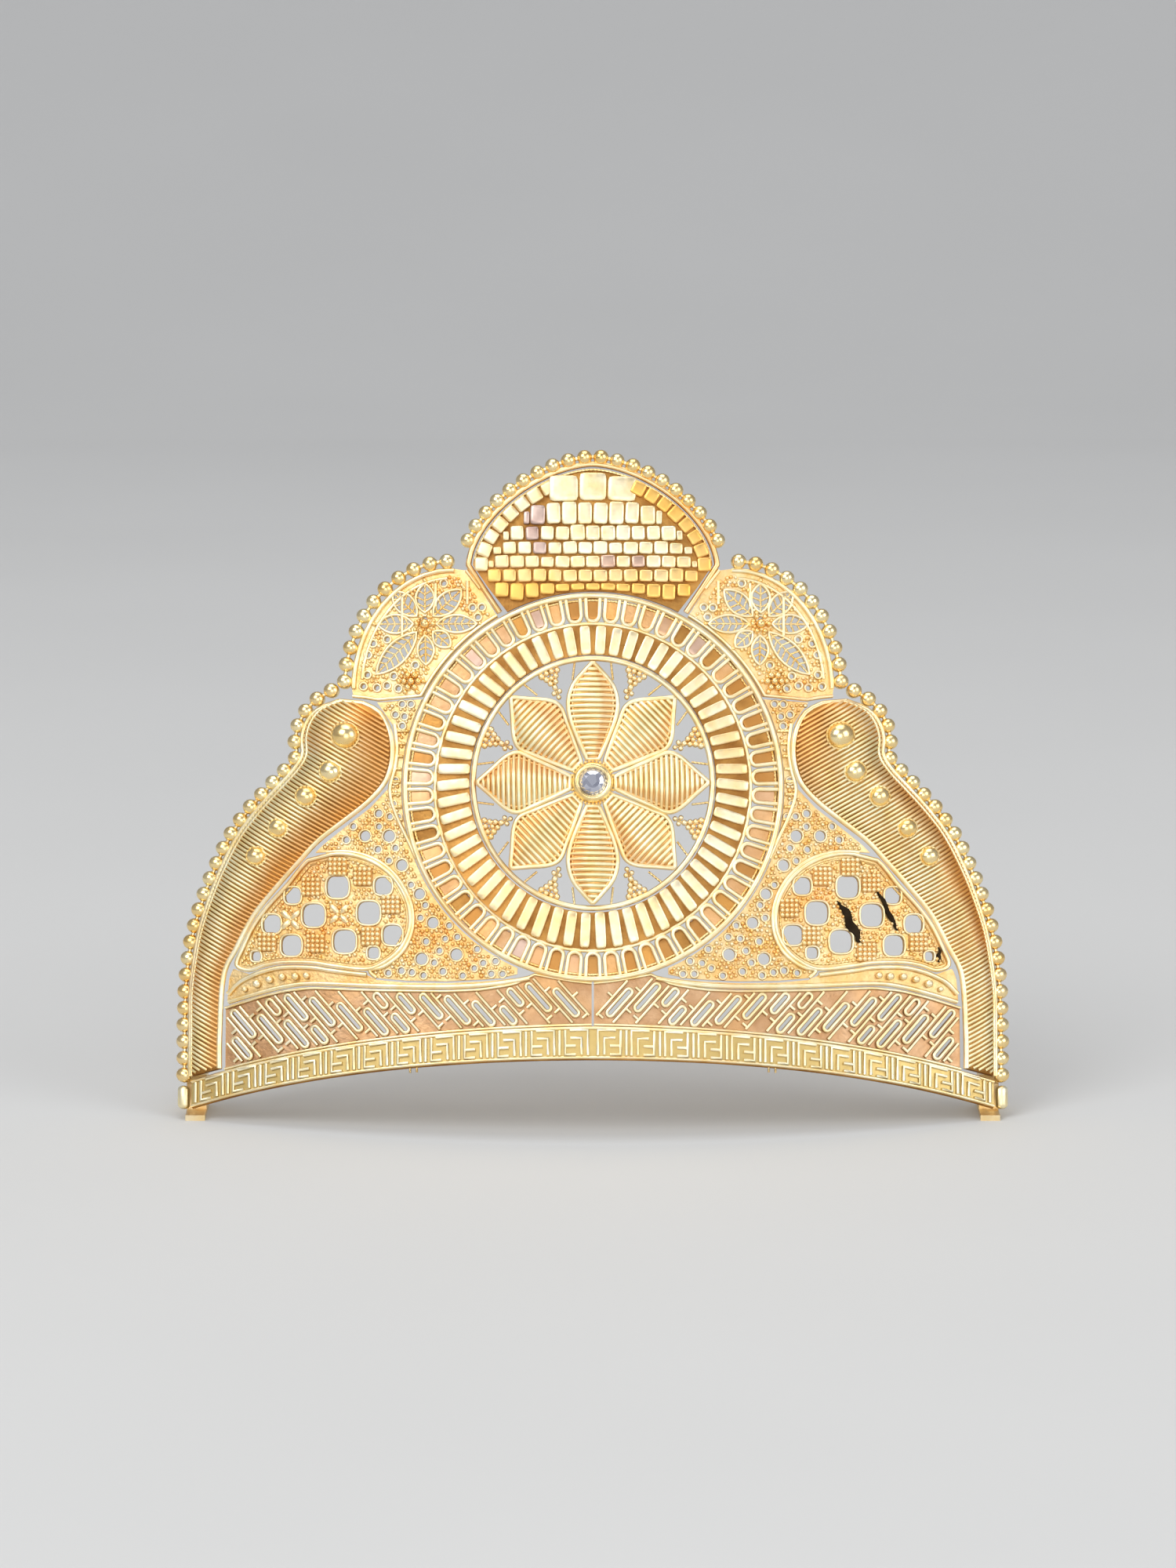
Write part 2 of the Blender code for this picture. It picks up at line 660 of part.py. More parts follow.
def make_rails(parent):
    """The two wires under the side panels, joined by small beads near the ends."""
    above = [place for place in offset(RAIL_LOW, WIRE) if place[0] < RAIL_HIGH[0][0]]
    outline = offset(RAIL_LOW, -WIRE) + offset(RAIL_HIGH, WIRE)[::-1] + above[::-1]
    steps = [RAIL_GAP[0] + (RAIL_GAP[1] - RAIL_GAP[0]) * i / 4 for i in range(5)]
    gap = [(x, table_at(RAIL_LOW, x) + WIRE) for x in steps]
    gap += [(x, table_at(RAIL_HIGH, x) - WIRE) for x in steps[::-1]]
    for word, side in (("right", 1), ("left", -1)):
        beads = [mirror(round_hole(*row), side) for row in RAIL_BEADS]
        plate(f"rail_{word}", "filigree_gold", parent, mirror(outline, side), [mirror(gap, side)], beads,
              front=PANEL_FRONT, top=1.2)


def bottom_edge(across):
    """The arched lower edge of the crown."""
    return EDGE_UP - EDGE_FALL * across**2 - EDGE_CURL * across**4


def key_top(across):
    """The upper edge of the key band."""
    middle, end = KEY_HEIGHT
    return bottom_edge(across) + middle + (end - middle) * abs(across) / KEY_END


def table_at(table, across):
    """The height that a table of places gives between two of its columns."""
    for (x0, y0), (x1, y1) in zip(table, table[1:]):
        if x0 <= across <= x1:
            return y0 + (y1 - y0) * (across - x0) / (x1 - x0)
    return table[-1][1]


def make_lattice(parent):
    """The slanting openwork between the rails and the key band, one half for each side."""
    end = LATTICE_TOP[-1][0]
    start = LATTICE_TOP[0][0]
    steps = [start + (end - start) * i / 11 for i in range(12)]
    outline = [(x, key_top(x) + GAP) for x in steps] + list(LATTICE_TOP)[::-1]
    step = (end - SLOT_LEAN - SLOT_WIDTH) / LATTICE_SLOTS
    holes = []
    for slot in range(LATTICE_SLOTS):
        low_x = 1.2 + step * slot
        low = key_top(low_x) + 1.2
        high = table_at(LATTICE_TOP, low_x + SLOT_LEAN + SLOT_WIDTH) - 0.9
        corners = ((0.0, low), (SLOT_WIDTH, low), (SLOT_LEAN + SLOT_WIDTH, high), (SLOT_LEAN, high))
        holes.append([(low_x + shift, up) for shift, up in corners])
    for word, side in (("right", 1), ("left", -1)):
        gaps = [mirror(hole, side) for hole in holes]
        plate(f"lattice_{word}", "filigree_gold", parent, mirror(outline, side), gaps)


def make_key_band(parent):
    """The band with its raised key pattern, and the upright rolls that close its ends."""
    steps = [KEY_END * (i / 12 - 1) for i in range(25)]
    outline = [(x, bottom_edge(x)) for x in steps] + [(x, key_top(x)) for x in steps[::-1]]
    pitch = (KEY_END - 0.8) / KEYS_A_SIDE
    bosses = []
    for side in (1, -1):
        for key in range(KEYS_A_SIDE):
            loop = []
            for share, high in mitred(HOOK, HOOK_HALF):
                across = side * (0.4 + pitch * (key + share))
                low, top = bottom_edge(across) + 0.25, key_top(across) - 0.25
                loop.append((across, low + (top - low) * high))
            bosses.append(loop)
    plate("key_band", "key_gold", parent, outline, bosses=bosses, front=0.3, top=0.85)
    for word, side in (("right", 1), ("left", -1)):
        sections = []
        for up, radius in END_ROLL:
            centre = lay(side * END_ROLL_ACROSS, up)
            outward = lay(side * END_ROLL_ACROSS, up, 1.0) - centre
            sections.append(ring_round(centre, Vector((0, 0, 1)), outward, radius))
        loft(f"end_roll_{word}", "key_gold", parent, sections)


def make_feet(parent):
    """A plain foot with a ribbon eyelet behind each end; its flat sole carries the crown."""
    front, back = FOOT_DEPTH
    start, corner = back - EYELET_PLATE, EYELET_CORNER
    shoulder, top = EYELET_UP + corner, EYELET_UP + 2 * corner
    outline = [(front, 0.0), (back, 0.0), (back, shoulder), (back - corner, top),
               (start + corner, top), (start, shoulder), (start, SOLE), (front, SOLE)]
    hole = round_hole(back - EYELET_PLATE / 2, EYELET_UP, EYELET_RADIUS, BEAD_SIDES)
    low, high = FOOT_ACROSS
    plate("end_foot_right", "polished_gold", parent, outline, [hole], back=low, front=high, place=upright)
    plate("end_foot_left", "polished_gold", parent, outline, [hole], back=-high, front=-low, place=upright)


def make_frame():
    """The empties that carry the crown: one at its origin, and one that leans."""
    origin = bpy.data.objects.new("crown_origin", None)
    leaning = bpy.data.objects.new("crown_lean", None)
    for empty in (origin, leaning):
        bpy.context.scene.collection.objects.link(empty)
    leaning.parent = origin
    leaning.rotation_euler.x = -LEAN
    return origin, leaning


def settle_origin(origin):
    """Puts the world's origin under the middle of the crown, on the floor."""
    bpy.context.view_layer.update()
    items = [item for item in bpy.data.objects if item.type == "MESH"]
    corners = [item.matrix_world @ vertex.co for item in items for vertex in item.data.vertices]
    depths = [corner.y for corner in corners]
    origin.location.y -= 0.5 * (min(depths) + max(depths))


def main():
    clear_scene()
    origin, leaning = make_frame()
    make_bead_rows(leaning)
    make_crest(leaning)
    make_shoulders(leaning)
    make_arms(leaning)
    make_medallion(leaning)
    make_flower(leaning)
    make_side_panels(leaning)
    make_rails(leaning)
    make_lattice(leaning)
    make_key_band(leaning)
    make_feet(origin)
    settle_origin(origin)


main()
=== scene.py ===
"""The looks of a bridal crown of gold filigree, dressed over its solids.

Every piece is drawn in the front view, in millimetres: across from the middle, up from the floor and out
towards the viewer. The drawing is then laid on the bent crown, which leans back on its two ends.
"""

from __future__ import annotations

import json
import logging
import math
from collections.abc import Iterable
from dataclasses import dataclass, field
from enum import Enum

import bmesh
import bpy
import numpy as np
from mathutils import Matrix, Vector
from mathutils.geometry import delaunay_2d_cdt

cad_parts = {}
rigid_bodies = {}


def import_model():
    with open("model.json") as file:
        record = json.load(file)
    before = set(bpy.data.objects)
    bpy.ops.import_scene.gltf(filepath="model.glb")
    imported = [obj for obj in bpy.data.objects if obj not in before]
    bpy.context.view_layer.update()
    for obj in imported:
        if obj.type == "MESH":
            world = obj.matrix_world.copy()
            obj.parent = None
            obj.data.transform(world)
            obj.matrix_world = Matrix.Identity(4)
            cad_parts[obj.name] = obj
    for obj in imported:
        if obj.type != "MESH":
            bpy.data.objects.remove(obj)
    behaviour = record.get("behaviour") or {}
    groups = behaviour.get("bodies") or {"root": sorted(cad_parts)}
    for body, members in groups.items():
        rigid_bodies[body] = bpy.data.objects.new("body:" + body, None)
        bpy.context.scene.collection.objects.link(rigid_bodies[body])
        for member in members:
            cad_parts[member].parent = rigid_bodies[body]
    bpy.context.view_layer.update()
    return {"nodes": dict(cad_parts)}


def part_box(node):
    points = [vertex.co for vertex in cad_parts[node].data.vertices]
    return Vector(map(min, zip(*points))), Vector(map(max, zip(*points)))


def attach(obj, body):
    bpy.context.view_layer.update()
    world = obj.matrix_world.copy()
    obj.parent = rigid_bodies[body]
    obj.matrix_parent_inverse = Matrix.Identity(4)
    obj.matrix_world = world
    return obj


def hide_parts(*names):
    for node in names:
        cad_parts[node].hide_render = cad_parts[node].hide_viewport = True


LOG = logging.getLogger("bridal_crown")
MM = 0.001
WIRE = 0.45
GAP = 0.3
RING_GAP = 0.8
SHEET_BACK = -0.45
SEED = 7

Spot = tuple[float, ...]
Line = list[Spot]
Node = bpy.types.Node
Mesh = bpy.types.Mesh
Feed = tuple[Node, str]


def table(*rows: object) -> list:
    """A field of a dataclass that starts as a list of these rows."""
    return field(default_factory=lambda: list(rows))


class Side(Enum):
    """The two mirrored halves of the crown."""

    RIGHT = 1
    LEFT = -1

    @property
    def word(self) -> str:
        """The word that ends a piece's name."""
        return self.name.lower()


class Metal(Enum):
    """The finishes that a piece can take, each with the material slot that it belongs to."""

    POLISHED = "polished_gold"
    FILIGREE = "filigree_gold"
    PALE = "pale_gold"
    RIBBED = "ribbed_gold"
    KEY = "key_gold"
    STONE = "grey_stone"
    PLAIN_WIRE = "plain_wire"
    SHADE = "shaded_gold"
    COPPER = "copper_gold"
    MAUVE = "mauve_gold"
    SHEET = "sheet_gold"
    ROSE = "rose_gold"
    DARK = "dark_tear"

    @property
    def slot(self) -> str:
        """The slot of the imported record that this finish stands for."""
        if self in (Metal.PLAIN_WIRE, Metal.SHADE, Metal.MAUVE, Metal.SHEET, Metal.ROSE, Metal.DARK):
            return Metal.FILIGREE.value
        return Metal.RIBBED.value if self is Metal.COPPER else self.value


@dataclass(frozen=True)
class Drawing:
    """The front view and the way it is laid on the bent, leaning crown."""

    shift: float
    half_width: float = 75.0
    bend_radius: float = 150.0
    lean: float = math.radians(19.0)
    view_dip: float = math.radians(9.0)

    def place(self, points: np.ndarray) -> np.ndarray:
        """Lays points of the drawing on the crown.

        Args:
            points: Rows of across, up and out, in millimetres.

        Returns:
            The same points in the frame of the solids, in metres.
        """
        across, up, out = points.T
        end_depth = math.sqrt(self.bend_radius**2 - self.half_width**2)
        forward = np.sqrt(self.bend_radius**2 - across**2) - end_depth
        height = (up - forward * math.sin(self.view_dip)) / math.cos(self.view_dip)
        turn = np.arcsin(across / self.bend_radius)
        x = across + out * np.sin(turn)
        y = -forward - out * np.cos(turn)
        leaning_y = y * math.cos(self.lean) + height * math.sin(self.lean) + self.shift
        leaning_z = height * math.cos(self.lean) - y * math.sin(self.lean)
        return np.column_stack((x, leaning_y, leaning_z)) * MM

    def spot(self, across: float, up: float, out: float = 0.0) -> Vector:
        """One point of the drawing, laid on the crown."""
        return Vector(self.place(np.array([[across, up, out]]))[0])


def ellipse(centre: Spot, radii: Spot, start: float = 0.0, end: float = 360.0, count: int = 96) -> Line:
    """Points along an ellipse.

    Args:
        centre: Its middle, across and up.
        radii: Its half axes, across and up.
        start: The first direction in degrees, from the right.
        end: The last direction; a whole turn leaves out the repeated point.
        count: The number of points.

    Returns:
        The points, across and up.
    """
    steps = count if abs(end - start) >= 360.0 else count - 1
    angles = [math.radians(start + (end - start) * i / steps) for i in range(count)]
    return [(centre[0] + radii[0] * math.cos(a), centre[1] + radii[1] * math.sin(a)) for a in angles]


def circle(centre: Spot, radius: float, count: int) -> Line:
    """Points round a circle."""
    return ellipse(centre, (radius, radius), count=count)


def widened(radii: Spot, margin: float) -> Spot:
    """The half axes of an ellipse with a margin added."""
    return (radii[0] + margin, radii[1] + margin)


def between(p: float, q: float, r: float, s: float, t: float) -> float:
    """A value on the smooth curve from q to r, where p comes before them and s after."""
    bend, twist = 2 * p - 5 * q + 4 * r - s, 3 * q - p - 3 * r + s
    return 0.5 * (2 * q + (r - p) * t + bend * t * t + twist * t**3)


def smooth(points: Line, steps: int) -> Line:
    """A curve through the rows of a table, with this many stretches between each two."""
    padded = [points[0], *points, points[-1]]
    curve: Line = []
    for four in zip(padded, padded[1:], padded[2:], padded[3:]):
        curve += [tuple(between(*values, i / steps) for values in zip(*four)) for i in range(steps)]
    return [*curve, tuple(points[-1])]


def smooth_loop(points: Line, steps: int) -> Line:
    """A closed curve through the rows of a table."""
    around = [*points[-2:], *points, *points[:2]]
    return smooth(around, steps)[2 * steps : -2 * steps - 1]


def offset(path: Line, distance: float, closed: bool = False) -> Line:
    """The path moved sideways, to its left where the distance is positive."""
    moved = []
    last = len(path) - 1
    for i, (x, y) in enumerate(path):
        before = path[i - 1] if closed or i else path[0]
        after = path[(i + 1) % len(path)] if closed or i < last else path[last]
        run_x, run_y = after[0] - before[0], after[1] - before[1]
        length = math.hypot(run_x, run_y) or 1.0
        moved.append((x - run_y / length * distance, y + run_x / length * distance))
    return moved


def signed_area(loop: Line) -> float:
    """The area inside a loop, positive where it runs anticlockwise."""
    return 0.5 * sum(a[0] * b[1] - b[0] * a[1] for a, b in zip(loop, loop[1:] + loop[:1]))


def shrunk(loop: Line, margin: float) -> Line:
    """A closed loop drawn in by a margin, whichever way round it runs."""
    moved = [offset(loop, side * margin, True) for side in (1.0, -1.0)]
    return min(moved, key=lambda made: abs(signed_area(made)))


def rounded(centre: Spot, half: float, count: int = 20) -> Line:
    """A square with well rounded corners."""
    corner = 0.7
    points = []
    for i in range(count):
        angle = 2.0 * math.pi * i / count
        parts = (math.cos(angle), math.sin(angle))
        x, y = (half * math.copysign(abs(part) ** corner, part) for part in parts)
        points.append((centre[0] + x, centre[1] + y))
    return points


def lifted(points: Line, out: float) -> Line:
    """Flat points brought to one depth."""
    return [(x, y, out) for x, y in points]


def mirrored(points: Line, side: Side) -> Line:
    """The points on the half of the crown that is asked for."""
    return [(side.value * point[0], *point[1:]) for point in points]


def length_of(path: Line) -> float:
    """The length of an open path in the drawing."""
    return sum(math.dist(a, b) for a, b in zip(path, path[1:]))


def height_at(places: Line, across: float) -> float:
    """The height that a table of places gives at a distance from the middle."""
    return float(np.interp(across, [row[0] for row in places], [row[1] for row in places]))


def bar_between(first: Spot, last: Spot) -> tuple[Spot, float, float]:
    """The middle, the length and the turn of a bar from one spot to another."""
    middle = ((first[0] + last[0]) / 2, (first[1] + last[1]) / 2)
    return middle, math.dist(first, last), math.atan2(last[1] - first[1], last[0] - first[0]) - math.pi / 2


def within(x: float, y: float, loop: Line) -> bool:
    """Whether a point lies inside a closed loop."""
    inside = False
    for (x0, y0), (x1, y1) in zip(loop, loop[1:] + loop[:1]):
        if (y0 > y) != (y1 > y) and x < x0 + (y - y0) * (x1 - x0) / (y1 - y0):
            inside = not inside
    return inside


def apart(loops: list[Line], outline: Line) -> list[Line]:
    """The loops that lie inside an outline and clear of the loops before them."""
    kept: list[Line] = []
    for loop in loops:
        inside = all(within(x, y, outline) for x, y in loop)
        crossed = any(within(x, y, other) for other in kept for x, y in loop)
        crossed = crossed or any(within(x, y, loop) for other in kept for x, y in other)
        if inside and not crossed:
            kept.append(loop)
    return kept


def strewn(outline: Line, bare: list[Line], pitch: float) -> Line:
    """Spots strewn evenly over a field.

    Args:
        outline: The closed outline of the field.
        bare: The loops that stay free.
        pitch: The usual distance between two spots.

    Returns:
        The place of each spot.
    """
    row_rise, uneven = 0.87, 0.2
    chance = np.random.default_rng(17)
    (left, low), (right, high) = (tuple(pick(axis) for axis in zip(*outline)) for pick in (min, max))
    spots = []
    for row in range(int((high - low) / (row_rise * pitch)) + 1):
        for column in range(int((right - left) / pitch) + 1):
            x = left + (column + 0.5 * (row % 2) + chance.uniform(-uneven, uneven)) * pitch
            y = low + (row_rise * row + 0.4 + chance.uniform(-uneven, uneven)) * pitch
            if within(x, y, outline) and not any(within(x, y, loop) for loop in bare):
                spots.append((x, y))
    return spots


@dataclass(frozen=True)
class Route:
    """The line that a wire follows, with how warm its colour is at each point."""

    points: Line
    closed: bool = False
    warmth: tuple[float, ...] = ()

    def on(self, side: Side) -> Route:
        """The same route on one half of the crown."""
        return Route(mirrored(self.points, side), self.closed, self.warmth)


def flat_routes(lines: Iterable[Line], side: Side, out: float, closed: bool = False) -> list[Route]:
    """Flat lines brought to one depth on one half of the crown."""
    return [Route(lifted(line, out), closed).on(side) for line in lines]


class NodeDesk:
    """Adds and joins the nodes of one tree."""

    def __init__(self, tree: bpy.types.NodeTree) -> None:
        """Keeps the tree that the nodes go into."""
        self.tree = tree

    def add(self, kind: str, **settings: object) -> Node:
        """Adds a node and sets its options."""
        node = self.tree.nodes.new(kind)
        for key, value in settings.items():
            setattr(node, key, value)
        return node

    @staticmethod
    def output(node: Node, name: str) -> bpy.types.NodeSocket:
        """The output of a node that has this name and is in use."""
        return next(socket for socket in node.outputs if socket.name == name and socket.enabled)

    @staticmethod
    def input(node: Node, name: str) -> bpy.types.NodeSocket:
        """The input of a node that has this name and is in use."""
        return next(socket for socket in node.inputs if socket.name == name and socket.enabled)

    def join(self, source: Node, output: str, target: Node, name: str) -> None:
        """Links an output to an input, both by name."""
        self.tree.links.new(self.output(source, output), self.input(target, name))

    def give(self, node: Node, **values: object) -> None:
        """Sets inputs by name, with an underscore for each space."""
        for key, value in values.items():
            self.input(node, key.replace("_", " ")).default_value = value

    def feed(self, source: Node, output: str, kind: str, name: str, **settings: object) -> Node:
        """Adds a node that takes its first value from another.

        Args:
            source: The node that comes before.
            output: Its output.
            kind: The kind of the new node.
            name: The input of the new node.
            **settings: The options of the new node.

        Returns:
            The new node.
        """
        node = self.add(kind, **settings)
        self.join(source, output, node, name)
        return node

    def noise(self, place: Node, **values: object) -> Node:
        """A noise in the piece's own coordinates."""
        node = self.feed(place, "Object", "ShaderNodeTexNoise", "Vector")
        self.give(node, **values)
        return node

    def span(self, source: Node, kind: str = "LINEAR", **values: object) -> Node:
        """A map from one range to another."""
        node = self.feed(source, "Fac", "ShaderNodeMapRange", "Value", interpolation_type=kind)
        self.give(node, **values)
        return node

    def ramp(self, source: Node, *stops: tuple[float, Spot]) -> Node:
        """A run of colours over a noise, from the place and the colour of both ends."""
        node = self.feed(source, "Fac", "ShaderNodeValToRGB", "Fac")
        for end, (place, colour) in zip(node.color_ramp.elements, stops):
            end.position, end.color = place, (*colour, 1.0)
        return node

    def mix(self, share: Node, output: str) -> Node:
        """A colour mix that is driven by another node."""
        return self.feed(share, output, "ShaderNodeMix", "Factor", data_type="RGBA")


def new_material(name: str) -> tuple[bpy.types.Material, NodeDesk, Node]:
    """Makes a material.

    Args:
        name: Its name.

    Returns:
        The material, the desk for its nodes and its shader.
    """
    material = bpy.data.materials.new(name)
    material.use_nodes = True
    return material, NodeDesk(material.node_tree), material.node_tree.nodes["Principled BSDF"]


def linked(name: str, data: bpy.types.ID) -> bpy.types.Object:
    """Makes an object in the scene."""
    item = bpy.data.objects.new(name, data)
    bpy.context.scene.collection.objects.link(item)
    return item


def kept(mesh: bmesh.types.BMesh, name: str) -> Mesh:
    """Turns a working mesh into a lasting one."""
    data = bpy.data.meshes.new(name)
    mesh.to_mesh(data)
    mesh.free()
    return data


BACK_FROM, BACK_TO = -0.4, -0.34
BACK_DARK, BACK_LIGHT = (0.70, 0.45, 0.15), (0.96, 0.75, 0.40)


@dataclass(frozen=True)
class GoldFinish:
    """A gold surface with painted shade that darkens its recesses, warmer patches and a fine grain.

    The heights, which set the painted shade, are in millimetres in front of the crown's middle surface.
    """

    metal: Metal
    light: Spot
    body: Spot
    deep: Spot
    blush: Spot = (0.92, 0.48, 0.13)
    low: float = -0.5
    high: float = 0.9
    blush_share: float = 0.5
    roughness: Spot = (0.2, 0.36)
    grain: float = 900.0
    bump: float = 0.12
    twist: float = 0.0
    patch: float = 70.0

    def build(self) -> bpy.types.Material:
        """Makes the material with its nodes."""
        material, desk, shader = new_material(self.metal.value)
        desk.give(shader, Metallic=1.0)
        place = desk.add("ShaderNodeTexCoord")
        desk.join(self._colour(desk, place), "Result", shader, "Base Color")
        grain = desk.noise(place, Scale=self.grain, Detail=4.0, Roughness=0.6)
        low, high = self.roughness
        rough = desk.span(grain, From_Min=0.3, From_Max=0.7, To_Min=low, To_Max=high)
        desk.join(rough, "Result", shader, "Roughness")
        bump = desk.feed(grain, "Fac", "ShaderNodeBump", "Height")
        desk.give(bump, Strength=self.bump, Distance=0.0002)
        if self.twist:
            twisted = self._twist(desk)
            desk.join(bump, "Normal", twisted, "Normal")
            bump = twisted
        desk.join(bump, "Normal", shader, "Normal")
        return material

    def _colour(self, desk: NodeDesk, place: Node) -> Node:
        """The nodes of the colour: patches, warm blushes, painted shade in the recesses and a plain gold back.
        """
        patches = desk.noise(place, Scale=self.patch * 4.0, Detail=5.0, Roughness=0.55)
        ramp = desk.ramp(patches, (0.32, self.body), (0.62, self.light))
        blushes = desk.noise(place, Scale=self.patch, Detail=2.0, Roughness=0.5)
        near = desk.span(blushes, From_Min=0.5, From_Max=0.72, To_Max=self.blush_share)
        warmth = desk.add("ShaderNodeAttribute", attribute_name="warmth")
        total = desk.add("ShaderNodeMath", operation="ADD", use_clamp=True)
        desk.tree.links.new(desk.output(near, "Result"), total.inputs[0])
        desk.tree.links.new(desk.output(warmth, "Fac"), total.inputs[1])
        warm = desk.mix(total, "Value")
        desk.join(ramp, "Color", warm, "A")
        desk.give(warm, B=(*self.blush, 1.0))
        # Painted shade: the colour fades to the finish's recess shade colour from its high height down to its
        # low one.
        height = desk.add("ShaderNodeAttribute", attribute_name="height")
        rise = desk.span(height, "SMOOTHSTEP", From_Min=self.low, From_Max=self.high)
        whole = desk.mix(rise, "Result")
        desk.give(whole, A=(*self.deep, 1.0))
        desk.join(warm, "Result", whole, "B")
        behind = desk.span(height, From_Min=BACK_FROM, From_Max=BACK_TO, To_Min=1.0, To_Max=0.0)
        back = desk.ramp(patches, (0.0, BACK_DARK), (1.0, BACK_LIGHT))
        closed = desk.mix(behind, "Result")
        desk.join(whole, "Result", closed, "A")
        desk.join(back, "Color", closed, "B")
        return closed

    def _twist(self, desk: NodeDesk) -> Node:
        """A bump like the turns of a twisted wire, from the places along and around it."""
        along, around = (desk.add("ShaderNodeAttribute", attribute_name=name) for name in ("along", "around"))
        turns = desk.add("ShaderNodeMath", operation="MULTIPLY_ADD")
        turns.inputs[1].default_value = 1.0 / self.twist
        desk.tree.links.new(along.outputs["Fac"], turns.inputs[0])
        desk.tree.links.new(around.outputs["Fac"], turns.inputs[2])
        angle = desk.add("ShaderNodeMath", operation="MULTIPLY")
        angle.inputs[1].default_value = 2.0 * math.pi
        desk.tree.links.new(turns.outputs[0], angle.inputs[0])
        wave = desk.add("ShaderNodeMath", operation="SINE")
        desk.tree.links.new(angle.outputs[0], wave.inputs[0])
        bump = desk.feed(wave, "Value", "ShaderNodeBump", "Height")
        desk.give(bump, Strength=0.55, Distance=0.0001)
        return bump


@dataclass(frozen=True)
class StoneFinish:
    """A cut stone over foil: cool grey that clouds a little from facet to facet."""

    metal: Metal = Metal.STONE
    light: Spot = (0.74, 0.76, 0.84)
    dark: Spot = (0.26, 0.27, 0.36)

    def build(self) -> bpy.types.Material:
        """Makes the material with its nodes."""
        material, desk, shader = new_material(self.metal.value)
        desk.give(shader, Metallic=0.75, Roughness=0.05, Coat_Weight=1.0, Coat_Roughness=0.02)
        cells = desk.feed(desk.add("ShaderNodeTexCoord"), "Object", "ShaderNodeTexVoronoi", "Vector")
        desk.give(cells, Scale=700.0)
        mix = desk.mix(cells, "Color")
        desk.give(mix, A=(*self.dark, 1.0), B=(*self.light, 1.0))
        desk.join(mix, "Result", shader, "Base Color")
        return material


CREAM = (1.0, 0.90, 0.62)
YELLOW = (0.97, 0.68, 0.24)
BROWN = (0.20, 0.085, 0.018)
# Each gold finish gives its light colour, its body colour and the painted shade colour of its recesses, then
# its own settings.
FINISHES = (
    GoldFinish(Metal.POLISHED, (1.0, 0.84, 0.48), (0.97, 0.66, 0.24), YELLOW, low=-3.0, high=-1.0,
               blush_share=0.3, roughness=(0.2, 0.32), bump=0.04, patch=50.0),
    GoldFinish(Metal.FILIGREE, (1.0, 0.82, 0.44), (0.94, 0.60, 0.18), BROWN, low=-0.5, high=0.4,
               roughness=(0.3, 0.44), twist=0.7),
    GoldFinish(Metal.PLAIN_WIRE, CREAM, (0.98, 0.74, 0.34), (0.62, 0.30, 0.07), low=-0.7, high=0.3,
               blush_share=0.4, roughness=(0.3, 0.44)),
    GoldFinish(Metal.PALE, (0.99, 0.89, 0.63), (0.96, 0.76, 0.39), (0.42, 0.24, 0.07), low=-0.1, high=0.4,
               blush=(0.95, 0.55, 0.12), blush_share=0.35, roughness=(0.32, 0.5)),
    GoldFinish(Metal.RIBBED, (0.98, 0.93, 0.64), (0.93, 0.78, 0.39), (0.20, 0.08, 0.015), low=0.1, high=0.8,
               blush=(0.86, 0.44, 0.12), roughness=(0.38, 0.5)),
    GoldFinish(Metal.KEY, (1.0, 0.94, 0.70), (0.98, 0.82, 0.46), (0.60, 0.44, 0.17), low=0.28, high=0.62,
               blush_share=0.25, roughness=(0.36, 0.5)),
    # shaded_gold is painted shade: dark brown for the backing sheets that show in the gaps between tiles, bars
    # and ribs, and for the band's shadowed underside; some medallion tongues take it too.
    GoldFinish(Metal.SHADE, (0.50, 0.26, 0.07), (0.32, 0.14, 0.035), BROWN, low=-0.6, high=0.4,
               roughness=(0.4, 0.55), bump=0.5, grain=1500.0),
    GoldFinish(Metal.SHEET, (0.96, 0.77, 0.43), (0.84, 0.56, 0.20), (0.50, 0.25, 0.06), low=-0.6, high=0.3,
               blush_share=0.6, roughness=(0.36, 0.5), bump=0.6, grain=1500.0),
    GoldFinish(Metal.ROSE, (0.72, 0.47, 0.27), (0.54, 0.31, 0.15), (0.30, 0.14, 0.06), low=-0.6, high=0.2,
               roughness=(0.38, 0.5), bump=0.5, grain=1500.0),
    GoldFinish(Metal.COPPER, (0.86, 0.53, 0.20), (0.70, 0.37, 0.12), (0.36, 0.14, 0.03), low=-0.6, high=1.2,
               roughness=(0.34, 0.46)),
    GoldFinish(Metal.MAUVE, (0.70, 0.54, 0.46), (0.52, 0.36, 0.30), (0.26, 0.14, 0.09), low=-0.5, high=0.3,
               blush_share=0.3, roughness=(0.3, 0.44)),
    # The dark finish is painted shade: the black inside the real tears of the right side panel.
    GoldFinish(Metal.DARK, (0.05, 0.035, 0.02), (0.03, 0.02, 0.012), (0.01, 0.007, 0.004),
               blush=(0.06, 0.03, 0.012), blush_share=0.2, roughness=(0.6, 0.8)),
    StoneFinish(),
)


